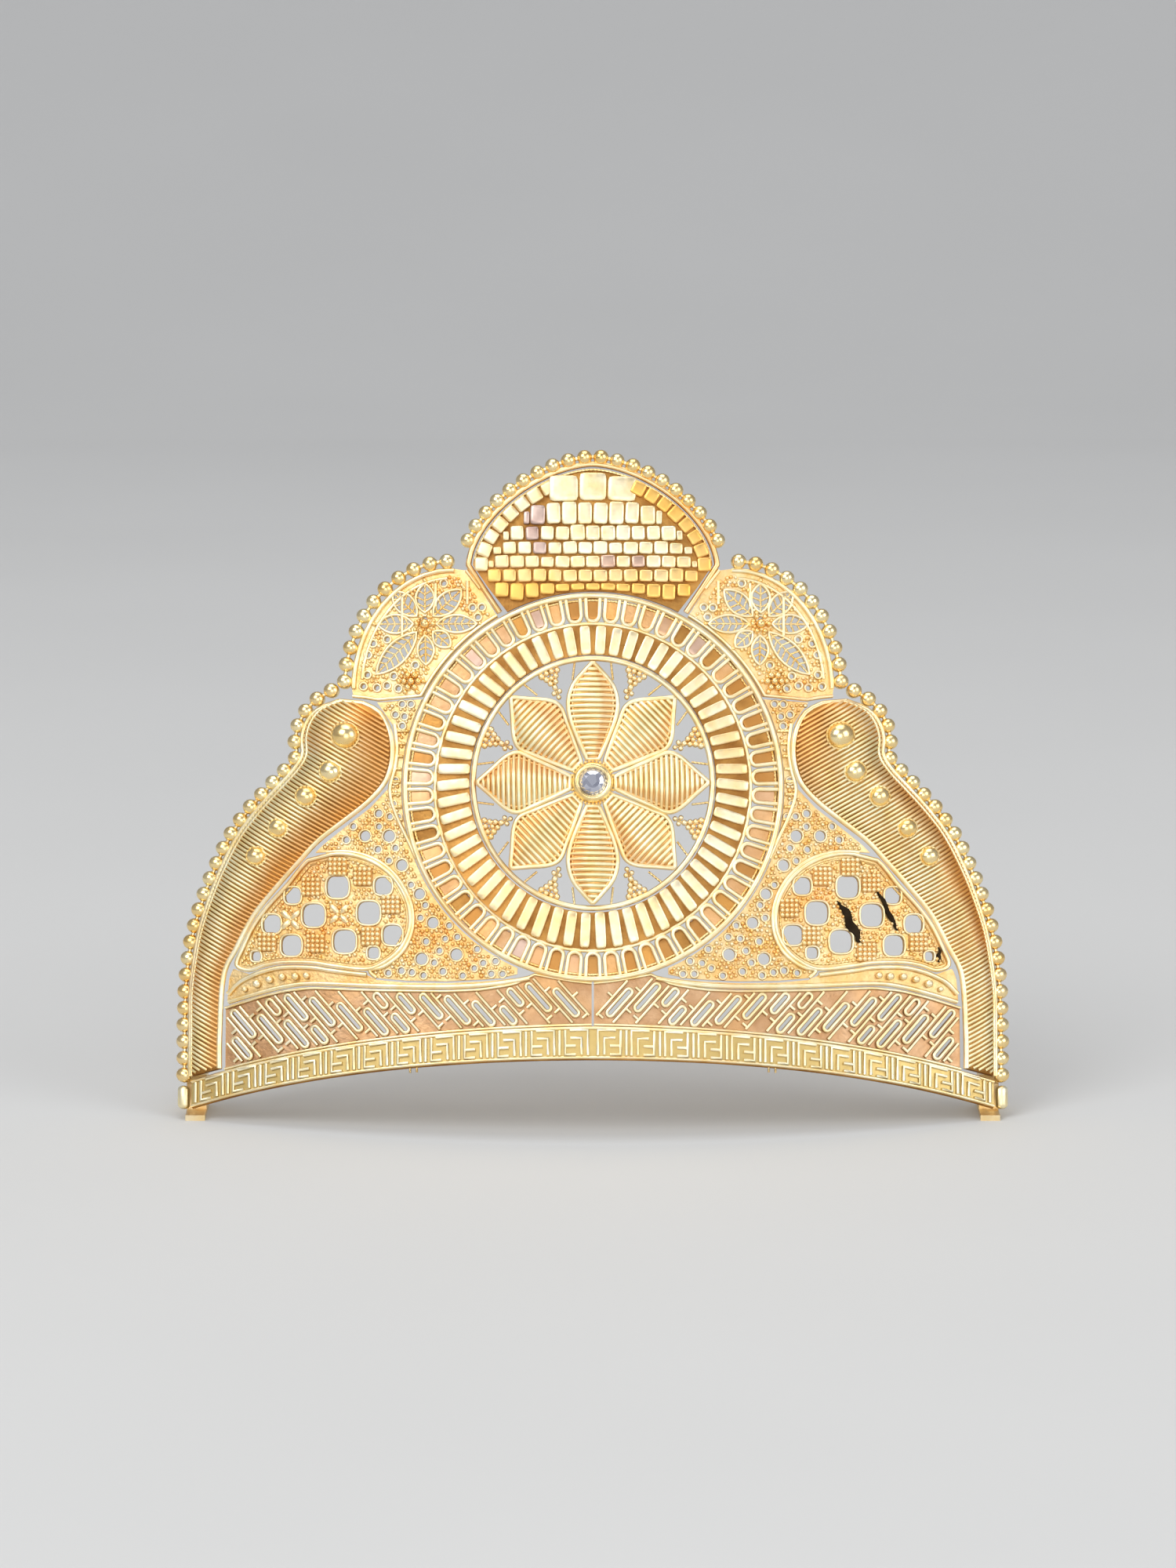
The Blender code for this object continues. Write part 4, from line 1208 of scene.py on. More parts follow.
@dataclass
class Medallion:
    """Two rings, with a tier of looped wires and a tier of flat bars between them."""

    up: float = 59.4
    inner_up: float = 60.0
    outer_ring: Spot = (33.4, 34.1)
    edge: Spot = (28.1, 29.1)
    inner_ring: Spot = (21.2, 22.2)
    cells: int = 58

    def rim(self, margin: float, start: float, end: float, count: int) -> Line:
        """A stretch of the outer ring's line, moved out by a margin."""
        return ellipse((0.0, self.up), widened(self.outer_ring, margin), start, end, count)

    def build(self, shop: Workshop) -> None:
        """Makes the rings and the tiers."""
        self._ring(shop, "outer", self.up, self.outer_ring)
        self._ring(shop, "inner", self.inner_up, self.inner_ring)
        loops = [Route(self._loop(cell)) for cell in range(self.cells)]
        edge = ellipse((0.0, self.up), self.edge, count=120)
        joint = ellipse((0.0, self.up), widened(self.outer_ring, -WIRE - 0.35), count=120)
        wires = [
            shop.wires(loops, Metal.PALE, 0.42),
            shop.wires([Route(lifted(edge, 0.1), True)], Metal.PLAIN_WIRE, 0.36, 8),
            shop.wires([Route(lifted(joint, 0.1), True)], Metal.FILIGREE, 0.25),
        ]
        shop.piece("medallion_loops", wires, Metal.FILIGREE, "medallion_outer_tier")
        tongues = [shop.spots(rows, Form.TILE, metal, 0.05) for metal, rows in self._tongues().items()]
        shop.piece("medallion_tongues", tongues, Metal.FILIGREE, "medallion_outer_tier")
        bars = shop.spots(self._bars(), Form.TILE, Metal.PALE, 0.03)
        shop.piece("medallion_bars", [bars, self._backing(shop)], Metal.PALE, "medallion_inner_tier")

    def _ring(self, shop: Workshop, place: str, up: float, radii: Spot) -> None:
        """A ring of heavy wire on a flat band."""
        middle, inside, outside = (
            ellipse((0.0, up), widened(radii, margin), count=144) for margin in (0.0, -0.3, 0.3)
        )
        wire = shop.wires([Route(lifted(middle, 0.5), True)], Metal.PLAIN_WIRE, 0.5, 10)
        band = shop.plate(outside, [inside], -0.6, 0.5, Metal.PLAIN_WIRE)
        shop.piece(f"medallion_ring_{place}", [wire, band], Metal.PLAIN_WIRE, f"medallion_{place}_ring")

    def _spot(self, angle: float, share: float, out: float) -> Spot:
        """A point of the outer tier, from its inner edge to the outer ring."""
        near, far = self.edge[0] + 0.35, self.outer_ring[0] - WIRE
        radius = near + (far - near) * share
        stretch = 1.0 + (self.edge[1] / self.edge[0] - 1.0) * (1.0 - share)
        stretch += (self.outer_ring[1] / self.outer_ring[0] - 1.0) * share
        return (radius * math.cos(angle), self.up + radius * stretch * math.sin(angle), out)

    def _loop(self, cell: int) -> Line:
        """One U of wire that opens towards the outer ring."""
        middle = 2.0 * math.pi * (cell + 0.5) / self.cells
        half = 0.355 * 2.0 * math.pi / self.cells
        bend = ellipse((0.0, 0.24), (1.0, -0.24), 0.0, 180.0, 7)
        places = [(1.0, 1.0), (1.0, 0.6), *bend, (-1.0, 0.6), (-1.0, 1.0)]
        return [self._spot(middle + half * across, share, 0.25) for across, share in places]

    def _tongues(self) -> dict[Metal, Line]:
        """The flat tongue inside each loop of the outer tier, sorted by finish."""
        chance = np.random.default_rng(11)
        kinds = (Metal.COPPER, Metal.MAUVE, Metal.SHADE, Metal.ROSE)
        sorted_rows: dict[Metal, Line] = {kind: [] for kind in kinds}
        for cell in range(self.cells):
            angle = 2.0 * math.pi * (cell + 0.5) / self.cells
            first, last = self._spot(angle, 0.1, 0.0), self._spot(angle, 1.0, 0.0)
            metal = kinds[int(chance.integers(0, len(kinds)))]
            warm = float(chance.uniform(0.0, 0.7))
            middle, length, turn = bar_between(first, last)
            sorted_rows[metal].append((*middle, -0.2, 2.9, length, 0.3, turn, warm))
        return sorted_rows

    def _bars(self) -> Line:
        """The flat radial bars of the inner tier."""
        spots: Line = []
        near, far = widened(self.inner_ring, 0.75), widened(self.edge, -0.45)
        for cell in range(self.cells):
            angle = 2.0 * math.pi * cell / self.cells
            first = (near[0] * math.cos(angle), self.inner_up + near[1] * math.sin(angle))
            last = (far[0] * math.cos(angle), self.up + far[1] * math.sin(angle))
            middle, length, turn = bar_between(first, last)
            warm = 0.35 * max(0.0, math.sin(3.0 * angle + 1.0)) ** 3
            spots.append((*middle, 0.2, 1.85, length, 0.62, turn, warm))
        return spots

    def _backing(self, shop: Workshop) -> Mesh:
        """The thin sheet under the bars, dark as painted shade in the gaps between them."""
        inside = ellipse((0.0, self.inner_up), widened(self.inner_ring, 0.75))
        outside = ellipse((0.0, self.up), widened(self.edge, -0.15))
        return shop.plate(outside, [inside], SHEET_BACK, 0.25, Metal.SHADE)


@dataclass
class Flower:
    """Eight ribbed petals round a bezel with its stone, and the granules between them."""

    petals: int = 8
    edge_out: float = 0.9
    ridge: float = 0.22
    rib_pitch: float = 0.9
    bezel: float = 3.7
    stone: float = 2.45
    cluster: Line = table(
        # distance from the middle, distance beside, radius
        (20.2, -1.5, 0.62), (20.4, -0.5, 0.55), (20.4, 0.5, 0.55), (20.2, 1.5, 0.62), (19.4, -0.9, 0.6),
        (19.4, 0.9, 0.6), (19.3, 0.0, 0.5), (18.5, -0.5, 0.55), (18.5, 0.5, 0.55), (17.6, 0.0, 0.6),
        (16.7, -0.55, 0.5), (16.7, 0.55, 0.5), (15.8, 0.0, 0.5),
    )
    broad: Line = table(
        (4.0, 1.1), (7.0, 2.5), (10.5, 4.0), (13.2, 5.1), (15.4, 4.4), (18.0, 2.2), (20.3, 0.25),
    )
    slim: Line = table(
        (4.0, 1.1), (7.0, 2.5), (10.5, 3.9), (13.6, 4.4), (16.5, 3.6), (18.7, 1.8), (20.3, 0.25),
    )

    def build(self, shop: Workshop) -> None:
        """Makes the petals, the setting and the granules."""
        for petal in range(self.petals):
            self._petal(shop, petal)
        self._setting(shop)
        self._granules(shop)

    def _turned(self, petal: float, along: float, beside: float, out: float) -> Spot:
        """A point of a petal, in the drawing."""
        medallion = Medallion()
        angle = 2.0 * math.pi * petal / self.petals
        x = math.sin(angle) * along + math.cos(angle) * beside
        y = math.cos(angle) * along - math.sin(angle) * beside
        return (x, medallion.inner_up + y * medallion.inner_ring[1] / medallion.inner_ring[0], out)

    def _swell(self, half: float, share: float) -> float:
        """How far a petal rises at a share of its half width."""
        return self.ridge * half * (1 - share * share)

    def _petal(self, shop: Workshop, petal: int) -> None:
        """One petal: its domed field, the ribs across it and the double wire round it."""
        upright = petal % (self.petals // 2) == 0
        halves = smooth(self.slim if upright else self.broad, 5)
        front = self.edge_out + (0.25 if petal % 2 == 0 else 0.0)
        sections, shares = [], [step / 4.0 - 1.0 for step in range(9)]
        for along, half in halves:
            top = [self._turned(petal, along, half * s, front - 0.3 + self._swell(half, s)) for s in shares]
            floor = [self._turned(petal, along, half * s, 0.0) for s in (1.0, -1.0)]
            sections.append(top + floor)
        rim = [(along, half - 0.05) for along, half in halves]
        around = rim + [(along, -half) for along, half in rim[::-1]]
        outline = [self._turned(petal, along, half, front) for along, half in around]
        inner = [self._turned(petal, along, half * 0.82, front + 0.05) for along, half in around[2:-2]]
        meshes = [
            shop.loft(sections, Metal.COPPER),
            shop.wires(self._ribs(petal, halves, front, shares), Metal.RIBBED, 0.39),
            shop.wires([Route(outline, True)], Metal.PLAIN_WIRE, 0.42, 8),
            shop.wires([Route(inner, True, (0.7,) * len(inner))], Metal.RIBBED, 0.24),
        ]
        shop.piece(f"flower_petal_{petal + 1}", meshes, Metal.FILIGREE, f"petal_{petal + 1}")

    def _ribs(self, petal: int, halves: Line, front: float, shares: list[float]) -> list[Route]:
        """The wires across one petal, each warmer at its right end.

        Args:
            petal: The number of the petal.
            halves: The distance from the flower's middle and the half width of each section.
            front: The depth of the petal's edge.
            shares: The shares of the half width that have a point.

        Returns:
            The routes of the ribs.
        """
        ribs, place, edge = [], halves[0][0] + 0.9, 0.35
        warmth = tuple(0.4 if share > 0.25 else 0.0 for share in shares)
        while place < halves[-1][0] - 0.8:
            half = height_at(halves, place) - edge
            rises = [front - 0.15 + self._swell(half + edge, share) for share in shares]
            rib = [self._turned(petal, place, half * share, out) for share, out in zip(shares, rises)]
            ribs.append(Route(rib, warmth=warmth))
            place += self.rib_pitch
        return ribs

    def _disc(self, radius: float, out: float, sides: int) -> Line:
        """A circle round the middle of the flower."""
        return lifted(circle((0.0, Medallion().inner_up), radius, sides), out)

    def _setting(self, shop: Workshop) -> None:
        """The bezel with its rim of fine granules, and the cut stone."""
        profile = [
            (self.stone + 0.05, 0.3), (self.bezel, 0.3), (self.bezel, 1.2), (self.bezel - 0.25, 1.9),
            (self.stone + 0.55, 2.35), (self.stone + 0.15, 2.3), (self.stone - 0.05, 2.0),
            (self.stone + 0.05, 1.6),
        ]
        around = [self._disc(radius, out, 48) for radius, out in profile]
        cup = shop.loft([list(section) for section in zip(*around)], Metal.POLISHED, True)
        ring = Route(self._disc(self.bezel + 0.15, 1.0, 36), True)
        beads = shop.row(ring, Form.GRANULE, Metal.FILIGREE, 36, 0.3)
        shop.piece("stone_setting", [cup, beads], Metal.POLISHED, "flower_bezel")
        sides, sections = 16, []
        facets = ((0.3, 0.6, 0), (1.0, 1.7, 0), (1.0, 1.95, 0), (0.78, 2.55, 1), (0.5, 2.9, 0))
        for share, out, half_turn in facets:
            start, radius = 180.0 / sides * half_turn, share * self.stone
            middle = (0.0, Medallion().inner_up)
            sections.append(lifted(ellipse(middle, (radius, radius), start, start + 360.0, sides), out))
        stone = shop.loft(sections, Metal.STONE, soft=False)
        shop.piece("cut_stone", [stone], Metal.STONE, "centre_stone")

    def _granules(self, shop: Workshop) -> None:
        """The clusters against the inner ring and the struts beside and between the petals."""
        gaps = [petal + 0.5 for petal in range(self.petals)]
        rows = [
            (*self._turned(gap, along, beside, 0.3), size)
            for gap in gaps for along, beside, size in self.cluster
        ]
        stems = [Route([self._turned(gap, along, 0.0, 0.0) for along in (15.6, 20.9)]) for gap in gaps]
        ends = ((20.9, 3.2), (17.6, 3.6))
        struts = [
            Route([self._turned(petal, along, beside * side, 0.1) for along, beside in ends])
            for petal in range(self.petals) for side in (-1, 1)
        ]
        meshes = [
            shop.granules(rows, Metal.PLAIN_WIRE, 0.15),
            shop.wires(stems + struts, Metal.FILIGREE, 0.2),
        ]
        shop.piece("flower_granules", meshes, Metal.FILIGREE)


@dataclass
class Arms:
    """The domed, comma-shaped arms with their ribs, rim wires and polished half balls."""

    front: float = 0.6
    rib_pitch: float = 0.72
    rib: float = 0.26
    rib_slope: float = 30.0
    neck_from: float = 9.0
    neck_to: float = 19.0
    rows: Line = table(
        # outer across, outer up, inner across, inner up, rise
        (45.2, 74.6, 41.0, 74.2, 0.6), (48.9, 73.2, 38.0, 72.6, 1.7), (51.0, 71.0, 36.3, 69.6, 2.5),
        (51.9, 68.2, 35.7, 66.2, 2.9), (51.8, 65.0, 36.0, 62.9, 3.0), (53.6, 62.1, 37.2, 59.8, 2.8),
        (56.5, 59.0, 40.2, 56.5, 2.5), (60.2, 54.9, 44.4, 53.2, 2.2), (63.4, 50.6, 48.9, 49.7, 2.0),
        (66.2, 45.2, 52.7, 45.6, 1.8), (68.3, 40.0, 56.6, 41.2, 1.6), (70.3, 33.6, 60.6, 36.2, 1.4),
        (71.3, 28.0, 63.6, 30.5, 1.1), (71.9, 22.0, 66.0, 25.3, 0.9), (71.9, 15.0, 66.6, 15.0, 0.8),
        (71.9, 7.4, 66.6, 8.9, 0.8),
    )
    domes: Line = table(
        # across, up, radius
        (43.2, 68.0, 2.3), (45.8, 61.6, 1.8), (50.2, 57.2, 1.7), (55.3, 51.6, 1.6), (59.3, 46.6, 1.6),
    )

    def __post_init__(self) -> None:
        """Lays out the arm by the distance along its middle."""
        fine = np.array(smooth(self.rows, 6))
        middle = 0.5 * (fine[:, 0:2] + fine[:, 2:4])
        steps = np.hypot(*np.diff(middle, axis=0).T)
        self.lengths = np.concatenate(([0.0], np.cumsum(steps)))
        self.fine = fine

    def surface(self, along: float, share: float, lift: float = 0.0) -> Spot:
        """A point of the domed surface.

        Args:
            along: The distance from the head.
            share: The share of the way from the outer to the inner edge.
            lift: How far above the surface.

        Returns:
            Across, up and out.
        """
        row = [float(np.interp(along, self.lengths, self.fine[:, i])) for i in range(5)]
        swell = 1.0 - abs(2.0 * share - 1.0) ** 2.4
        x = row[0] + (row[2] - row[0]) * share
        y = row[1] + (row[3] - row[1]) * share
        return (x, y, self.front + row[4] * swell + lift)

    def build(self, shop: Workshop) -> None:
        """Makes both arms and their half balls."""
        end = float(self.lengths[-1])
        for side in Side:
            ribs = shop.wires([route.on(side) for route in self._ribs(side, end)], Metal.RIBBED, self.rib)
            meshes = [self._shell(shop, side), ribs]
            shop.piece(f"arm_shell_{side.word}", meshes, Metal.RIBBED, f"arm_{side.word}")
            self._rims(shop, side, end)
            for number, row in enumerate(self.domes, 1):
                self._dome(shop, side, number, row)

    def _shell(self, shop: Workshop, side: Side) -> Mesh:
        """The domed sheet under the ribs, dark as painted shade in the grooves between them."""
        shares = [i / 12 for i in range(13)]
        sections = []
        for along in self.lengths:
            top = [self.surface(along, share) for share in shares]
            floor = [(*self.surface(along, share)[:2], SHEET_BACK) for share in (1.0, 0.0)]
            sections.append(mirrored(top + floor, side))
        return shop.loft(sections, Metal.SHADE)

    def _warmth(self, side: Side, along: float, share: float, end: float) -> float:
        """How much painted warm light a rib gets: inside on the left arm and on the right head, outside on the
        right tail.
        """
        inner = min(max(2.4 * share - 1.15, 0.0), 0.85)
        if side is Side.LEFT:
            return inner
        fade = float(np.interp(along, (0.6 * end, 0.8 * end), (1.0, 0.0)))
        outer = min(max(1.25 - 3.0 * share, 0.0), 0.9) * fade
        tail = float(np.interp(along, (self.neck_from, self.neck_to), (0.0, 1.0)))
        return inner * (1.0 - tail) + outer * tail

    def _ribs(self, side: Side, end: float) -> list[Route]:
        """The straight parallel ribs, which all rise outwards at one slope."""
        slope = math.tan(math.radians(self.rib_slope))
        shares = np.linspace(0.03, 0.97, 13)
        outer, inner = self.fine[:, 0:2], self.fine[:, 2:4]
        levels = [(outer + (inner - outer) * share) @ (-slope, 1.0) for share in shares]
        high, low = max(level[0] for level in levels), min(level[-1] for level in levels)
        routes = []
        for level in np.arange(high, low, -self.rib_pitch / math.cos(math.radians(self.rib_slope))):
            points, warmth = [], []
            for share, falls in zip(shares, levels):
                if falls[-1] <= level <= falls[0]:
                    along = float(np.interp(level, falls[::-1], self.lengths[::-1]))
                    points.append(self.surface(along, float(share), 0.12))
                    warmth.append(self._warmth(side, along, float(share), end))
            if len(points) > 2:
                routes.append(Route(points, warmth=tuple(warmth)))
        return routes

    def _rims(self, shop: Workshop, side: Side, end: float) -> None:
        """The double wire outside and the single wire inside."""
        steps = [end * i / 90 for i in range(91)]
        outer = [(*self.surface(along, 0.0)[:2], 0.7) for along in steps]
        second = [self.surface(along, 0.07, 0.2) for along in steps]
        inner = [(*self.surface(along, 1.0)[:2], 0.7) for along in steps]
        head = [(*self.surface(0.0, i / 8)[:2], 0.7) for i in range(9)]
        edges = [Route(mirrored(line, side)) for line in (outer, inner, head)]
        heavy = shop.wires(edges, Metal.PLAIN_WIRE, 0.52, 8)
        light = shop.wires([Route(mirrored(second, side))], Metal.PLAIN_WIRE, 0.3)
        shop.piece(f"arm_rim_wires_{side.word}", [heavy, light], Metal.PLAIN_WIRE)

    def _dome(self, shop: Workshop, side: Side, number: int, row: Spot) -> None:
        """One polished half ball with a fine wire round its foot."""
        across, up, radius = side.value * row[0], row[1], row[2]
        seat = self.front + self.rise_at(row[0], up) + 0.1
        spot = (across, up, seat, radius, radius, radius * 0.95, 0.0, 0.0)
        collar = Route(lifted(circle((across, up), radius + 0.1, 32), seat + 0.1), True)
        meshes = [
            shop.spots([spot], Form.DOME, Metal.POLISHED, 0.0),
            shop.wires([collar], Metal.FILIGREE, 0.2),
        ]
        place = f"{side.word}_{number}"
        shop.piece(f"half_ball_{place}", meshes, Metal.POLISHED, f"arm_dome_{place}")

    def rise_at(self, across: float, up: float) -> float:
        """The rise of the dome at the row nearest to a place."""
        middles = [(0.5 * (row[0] + row[2]), 0.5 * (row[1] + row[3])) for row in self.rows]
        distances = [math.dist(middle, (across, up)) for middle in middles]
        return self.rows[distances.index(min(distances))][4]


@dataclass
class Shoulders:
    """The openwork between the crest, the medallion and each arm's head."""

    centre: Spot = (25.4, 76.6)
    radii: Spot = (17.4, 21.5)
    star: Spot = (30.0, 88.5)
    foot: Line = table((42.9, 75.6), (40.6, 75.35), (38.3, 74.95))
    crest_side: Line = table((20.1, 94.8), (22.6, 98.1))
    ring_side: Spot = (27.5, 60.3)
    leaves: Line = table(
        # direction in degrees, inner end, outer end, half width
        (0.0, 2.0, 8.6, 1.7), (45.0, 2.0, 8.2, 1.7), (90.0, 2.0, 7.3, 1.7), (137.0, 2.0, 9.0, 1.8),
        (180.0, 2.0, 9.4, 1.6), (222.0, 2.0, 6.2, 1.4), (268.0, 2.0, 7.4, 1.5), (314.0, 2.0, 12.6, 1.9),
    )
    bloom: Spot = (32.4, 78.2)
    bars: Line = table((34.1, 86.4, 93.6), (28.1, 91.6, 95.8), (22.4, 92.0, 96.2))

    def build(self, shop: Workshop) -> None:
        """Makes both shoulders."""
        for side in Side:
            self._panel(shop, side)

    def _at(self, degrees: float, along: float, beside: float) -> Spot:
        """A point beside the line that runs from the star's middle in one direction."""
        cos, sin = math.cos(math.radians(degrees)), math.sin(math.radians(degrees))
        return (self.star[0] + cos * along - sin * beside, self.star[1] + sin * along + cos * beside)

    def leaf(self, degrees: float, inner: float, outer: float, half: float, shrink: float = 0.0) -> Line:
        """The loop of a leaf that runs away from the star's middle.

        Args:
            degrees: Its direction.
            inner: The distance of its near end.
            outer: The distance of its far end.
            half: Its half width.
            shrink: How far the loop is drawn in.

        Returns:
            The closed loop.
        """
        inner, outer, half = inner + shrink, outer - shrink, half - shrink
        shares = [i / 9 for i in range(10)]
        rows = [(inner + (outer - inner) * share, half * math.sin(math.pi * share) ** 0.8) for share in shares]
        around = rows + [(along, -wide) for along, wide in rows[-2:0:-1]]
        return [self._at(degrees, along, wide) for along, wide in around]

    def outline(self) -> Line:
        """The closed outline of the right panel."""
        outer = ellipse(self.centre, widened(self.radii, 0.3), 92.0, 1.0, 40)
        return [*outer, *self.foot, *Medallion().rim(RING_GAP, *self.ring_side, 24), *self.crest_side]

    def _panel(self, shop: Workshop, side: Side) -> None:
        """One shoulder: sheet, rim wires, leaf loops, coils and granules."""
        out, outline = 0.35, self.outline()
        inside = shrunk(outline, 1.5)
        leaves, clear, loops, free = (
            [self.leaf(*row, shrink) for row in self.leaves] for shrink in (0.25, -1.0, 0.0, -0.4)
        )
        coils = [spot for spot in strewn(inside, clear, 2.3) if math.dist(spot, self.bloom) > 2.6]
        eyes = apart([*apart(leaves, outline), *(circle(spot, 0.45, 10) for spot in coils)], outline)
        rim = ellipse(self.centre, self.radii, 92.0, 1.0, 60)
        second = ellipse(self.centre, widened(self.radii, -1.45), 88.0, 6.0, 60)
        low = [*self.foot, *Medallion().rim(1.15, *self.ring_side, 30)]
        bars = [[(x, low_end), (x, high_end)] for x, low_end, high_end in self.bars]
        rings = [circle(spot, 0.68, 14) for spot in coils]
        bare = free + [circle(spot, 1.05, 8) for spot in coils]
        light = flat_routes([second, low, self.crest_side, *bars], side, out)
        meshes = [
            shop.sheet(outline, eyes, 0.2, Metal.SHEET, side),
            shop.wires(flat_routes([rim], side, out), Metal.PLAIN_WIRE, 0.45, 8),
            shop.wires(light, Metal.PLAIN_WIRE, 0.34),
            shop.wires(flat_routes(loops, side, out, True), Metal.PALE, 0.28),
            shop.wires(flat_routes(self._veins(), side, out), Metal.FILIGREE, 0.19, 5),
            shop.wires(flat_routes(rings, side, out, True), Metal.PALE, 0.22, 5),
            shop.granules(mirrored(self._blooms(outline), side), Metal.POLISHED, 0.3),
            *shop.strew(inside, bare, side, 0.82, 0.36, 0.3),
        ]
        shop.piece(f"shoulder_filigree_{side.word}", meshes, Metal.FILIGREE, f"shoulder_panel_{side.word}")

    def _blooms(self, outline: Line) -> Line:
        """The granules of the star's middle, of the leaf tips and of the golden bloom."""
        grains = [(*self.star, 0.5, 0.9), (*self.bloom, 0.6, 0.7)]
        rings = ((self.star, 1.45, 0.52), (self.bloom, 1.25, 0.62), (self.bloom, 2.2, 0.45))
        for turn in range(6):
            angle = math.radians(60.0 * turn)
            for (x, y), ring, size in rings:
                grains.append((x + ring * math.cos(angle), y + ring * math.sin(angle), 0.5, size))
        tips = [self._at(degrees, outer + 0.5, 0.0) for degrees, _, outer, _ in self.leaves]
        grains += [(*tip, 0.45, 0.42) for tip in tips]
        return [row for row in grains if within(row[0], row[1], outline)]

    def _veins(self) -> list[Line]:
        """The middle vein of each leaf and its side veins."""
        lines = []
        for degrees, inner, outer, half in self.leaves:
            lines.append([self._at(degrees, along, 0.0) for along in (inner, outer)])
            along = inner + 1.0
            while along < outer - 1.6:
                tip = along + 0.7
                wide = 0.92 * half * math.sin(math.pi * (tip - inner) / (outer - inner)) ** 0.8
                places = ((tip, wide), (along, 0.0), (tip, -wide))
                lines.append([self._at(degrees, *place) for place in places])
                along += 1.15
        return lines


@dataclass
class SidePanels:
    """The pierced leaf-shaped panels low on each side, strewn with granules."""

    outline: Line = table(
        (50.8, 46.2), (54.6, 41.7), (58.1, 37.9), (60.6, 34.5), (62.7, 30.2), (63.7, 27.4), (61.4, 26.5),
        (58.6, 27.4), (55.2, 28.0), (50.0, 28.0), (46.5, 27.5), (40.6, 26.9), (37.4, 27.9), (34.4, 30.3),
        (32.7, 33.5), (32.5, 37.0), (33.5, 40.3), (35.7, 43.5), (39.2, 46.0), (43.5, 47.3), (47.4, 47.2),
    )
    holes: Line = table(
        # across, up, radius
        (45.5, 41.5, 1.95), (37.3, 41.7, 1.5), (49.8, 36.4, 2.0), (39.9, 36.9, 2.0), (53.6, 39.9, 1.4),
        (57.4, 34.8, 1.6), (53.8, 31.0, 1.8), (44.2, 31.8, 2.0), (35.6, 33.0, 1.7), (60.2, 29.0, 0.8),
        (39.0, 29.8, 1.0),
    )
    left_squares: Line = table(
        # across, up
        (45.5, 45.1), (41.0, 43.4), (50.3, 41.5), (35.9, 38.4), (39.5, 32.7), (49.4, 31.4), (58.2, 31.6),
    )
    right_squares: Line = table(
        # across, up
        (40.9, 43.4), (34.9, 37.8), (49.7, 42.2), (38.8, 32.8), (48.8, 29.9), (58.2, 31.6), (45.9, 45.0),
    )
    leaves: Line = table((45.2, 36.7), (54.0, 35.6))
    tears: Line = table(
        # start across and up, end across and up, half width
        (43.8, 39.2, 48.0, 31.0, 0.95), (50.8, 41.0, 54.6, 33.2, 0.45), (62.0, 30.6, 61.9, 27.9, 0.35),
    )

    def build(self, shop: Workshop) -> None:
        """Makes both panels, with tears in the right one and leaf crosses on the left one."""
        self._panel(shop, Side.RIGHT, self.right_squares, [self._tear(*row) for row in self.tears], [])
        self._panel(shop, Side.LEFT, self.left_squares, [], self._crosses(Side.LEFT))

    def _panel(self, shop: Workshop, side: Side, squares: Line, tears: list[Line], leaves: Line) -> None:
        """One panel: sheet, wires, granules and what only this side has.

        Args:
            shop: The workshop.
            side: The half of the crown.
            squares: The places of the granule squares.
            tears: The outlines of the tears, filled dark as painted shade.
            leaves: The spots of the small leaves.
        """
        outline = smooth_loop(self.outline, 4)
        inside = shrunk(outline, 0.9)
        bare = [rounded(row[:2], row[2] + 0.65, 12) for row in self.holes]
        bare += [rounded(spot, 1.9, 12) for spot in squares] + tears
        eyes, rings = ([rounded(row[:2], row[2] + margin) for row in self.holes] for margin in (0.05, 0.22))
        patches = [(side.value * x, y, 0.12, 3.5, 3.5, 0.25, 0.0, 0.0) for x, y in squares]
        meshes = [
            shop.sheet(outline, eyes, 0.1, Metal.SHEET, side),
            shop.wires(flat_routes([outline], side, 0.4, True), Metal.PLAIN_WIRE, 0.38, 8),
            shop.wires(flat_routes([inside], side, 0.2, True), Metal.FILIGREE, 0.2),
            shop.wires(flat_routes(rings, side, 0.25, True), Metal.PALE, 0.22),
            shop.granules(mirrored(self._grains(squares), side), Metal.PALE, 0.22),
            *shop.strew(inside, bare, side, 0.9, 0.34, 0.2),
            shop.spots(patches, Form.TILE, Metal.COPPER),
        ]
        meshes += [shop.spots(leaves, Form.DOME, Metal.PALE)] if leaves else []
        # The tears are real; each dark plate is painted shade inside one.
        meshes += [shop.plate(tear, [], 0.1, 0.55, Metal.DARK) for tear in tears]
        shop.piece(f"side_panel_filigree_{side.word}", meshes, Metal.FILIGREE, f"side_panel_{side.word}")

    def _crosses(self, side: Side) -> Line:
        """The spots of the four small leaves of each cross."""
        spots: Line = []
        for x, y in self.leaves:
            for quarter in range(4):
                turn = math.pi * (0.25 + 0.5 * quarter)
                across, up = x + 1.25 * math.cos(turn), y + 1.25 * math.sin(turn)
                spots.append((side.value * across, up, 0.1, 1.2, 0.62, 0.5, side.value * turn, 0.0))
        return spots

    @staticmethod
    def _tear(left: float, high: float, right: float, low: float, half: float) -> Line:
        """The ragged outline of one tear, wide in the middle and sharp at its ends; its dark fill is painted
        shade.

        Args:
            left: The start, across.
            high: The start, up.
            right: The end, across.
            low: The end, up.
            half: The usual half width.

        Returns:
            The closed outline.
        """
        chance = np.random.default_rng(3)
        length = math.hypot(right - left, high - low)
        run_x, run_y = (right - left) / length, (low - high) / length
        bends = half * chance.uniform(-0.5, 0.5, 9)
        spots = []
        for way in (1, -1):
            for step in range(9)[::way]:
                swell = math.sin(math.pi * (step + 0.15) / 8.3)
                wide = bends[step] + way * half * swell * chance.uniform(0.45, 1.1)
                place = length * step / 8
                spots.append((left + run_x * place - run_y * wide, high + run_y * place + run_x * wide))
        return spots

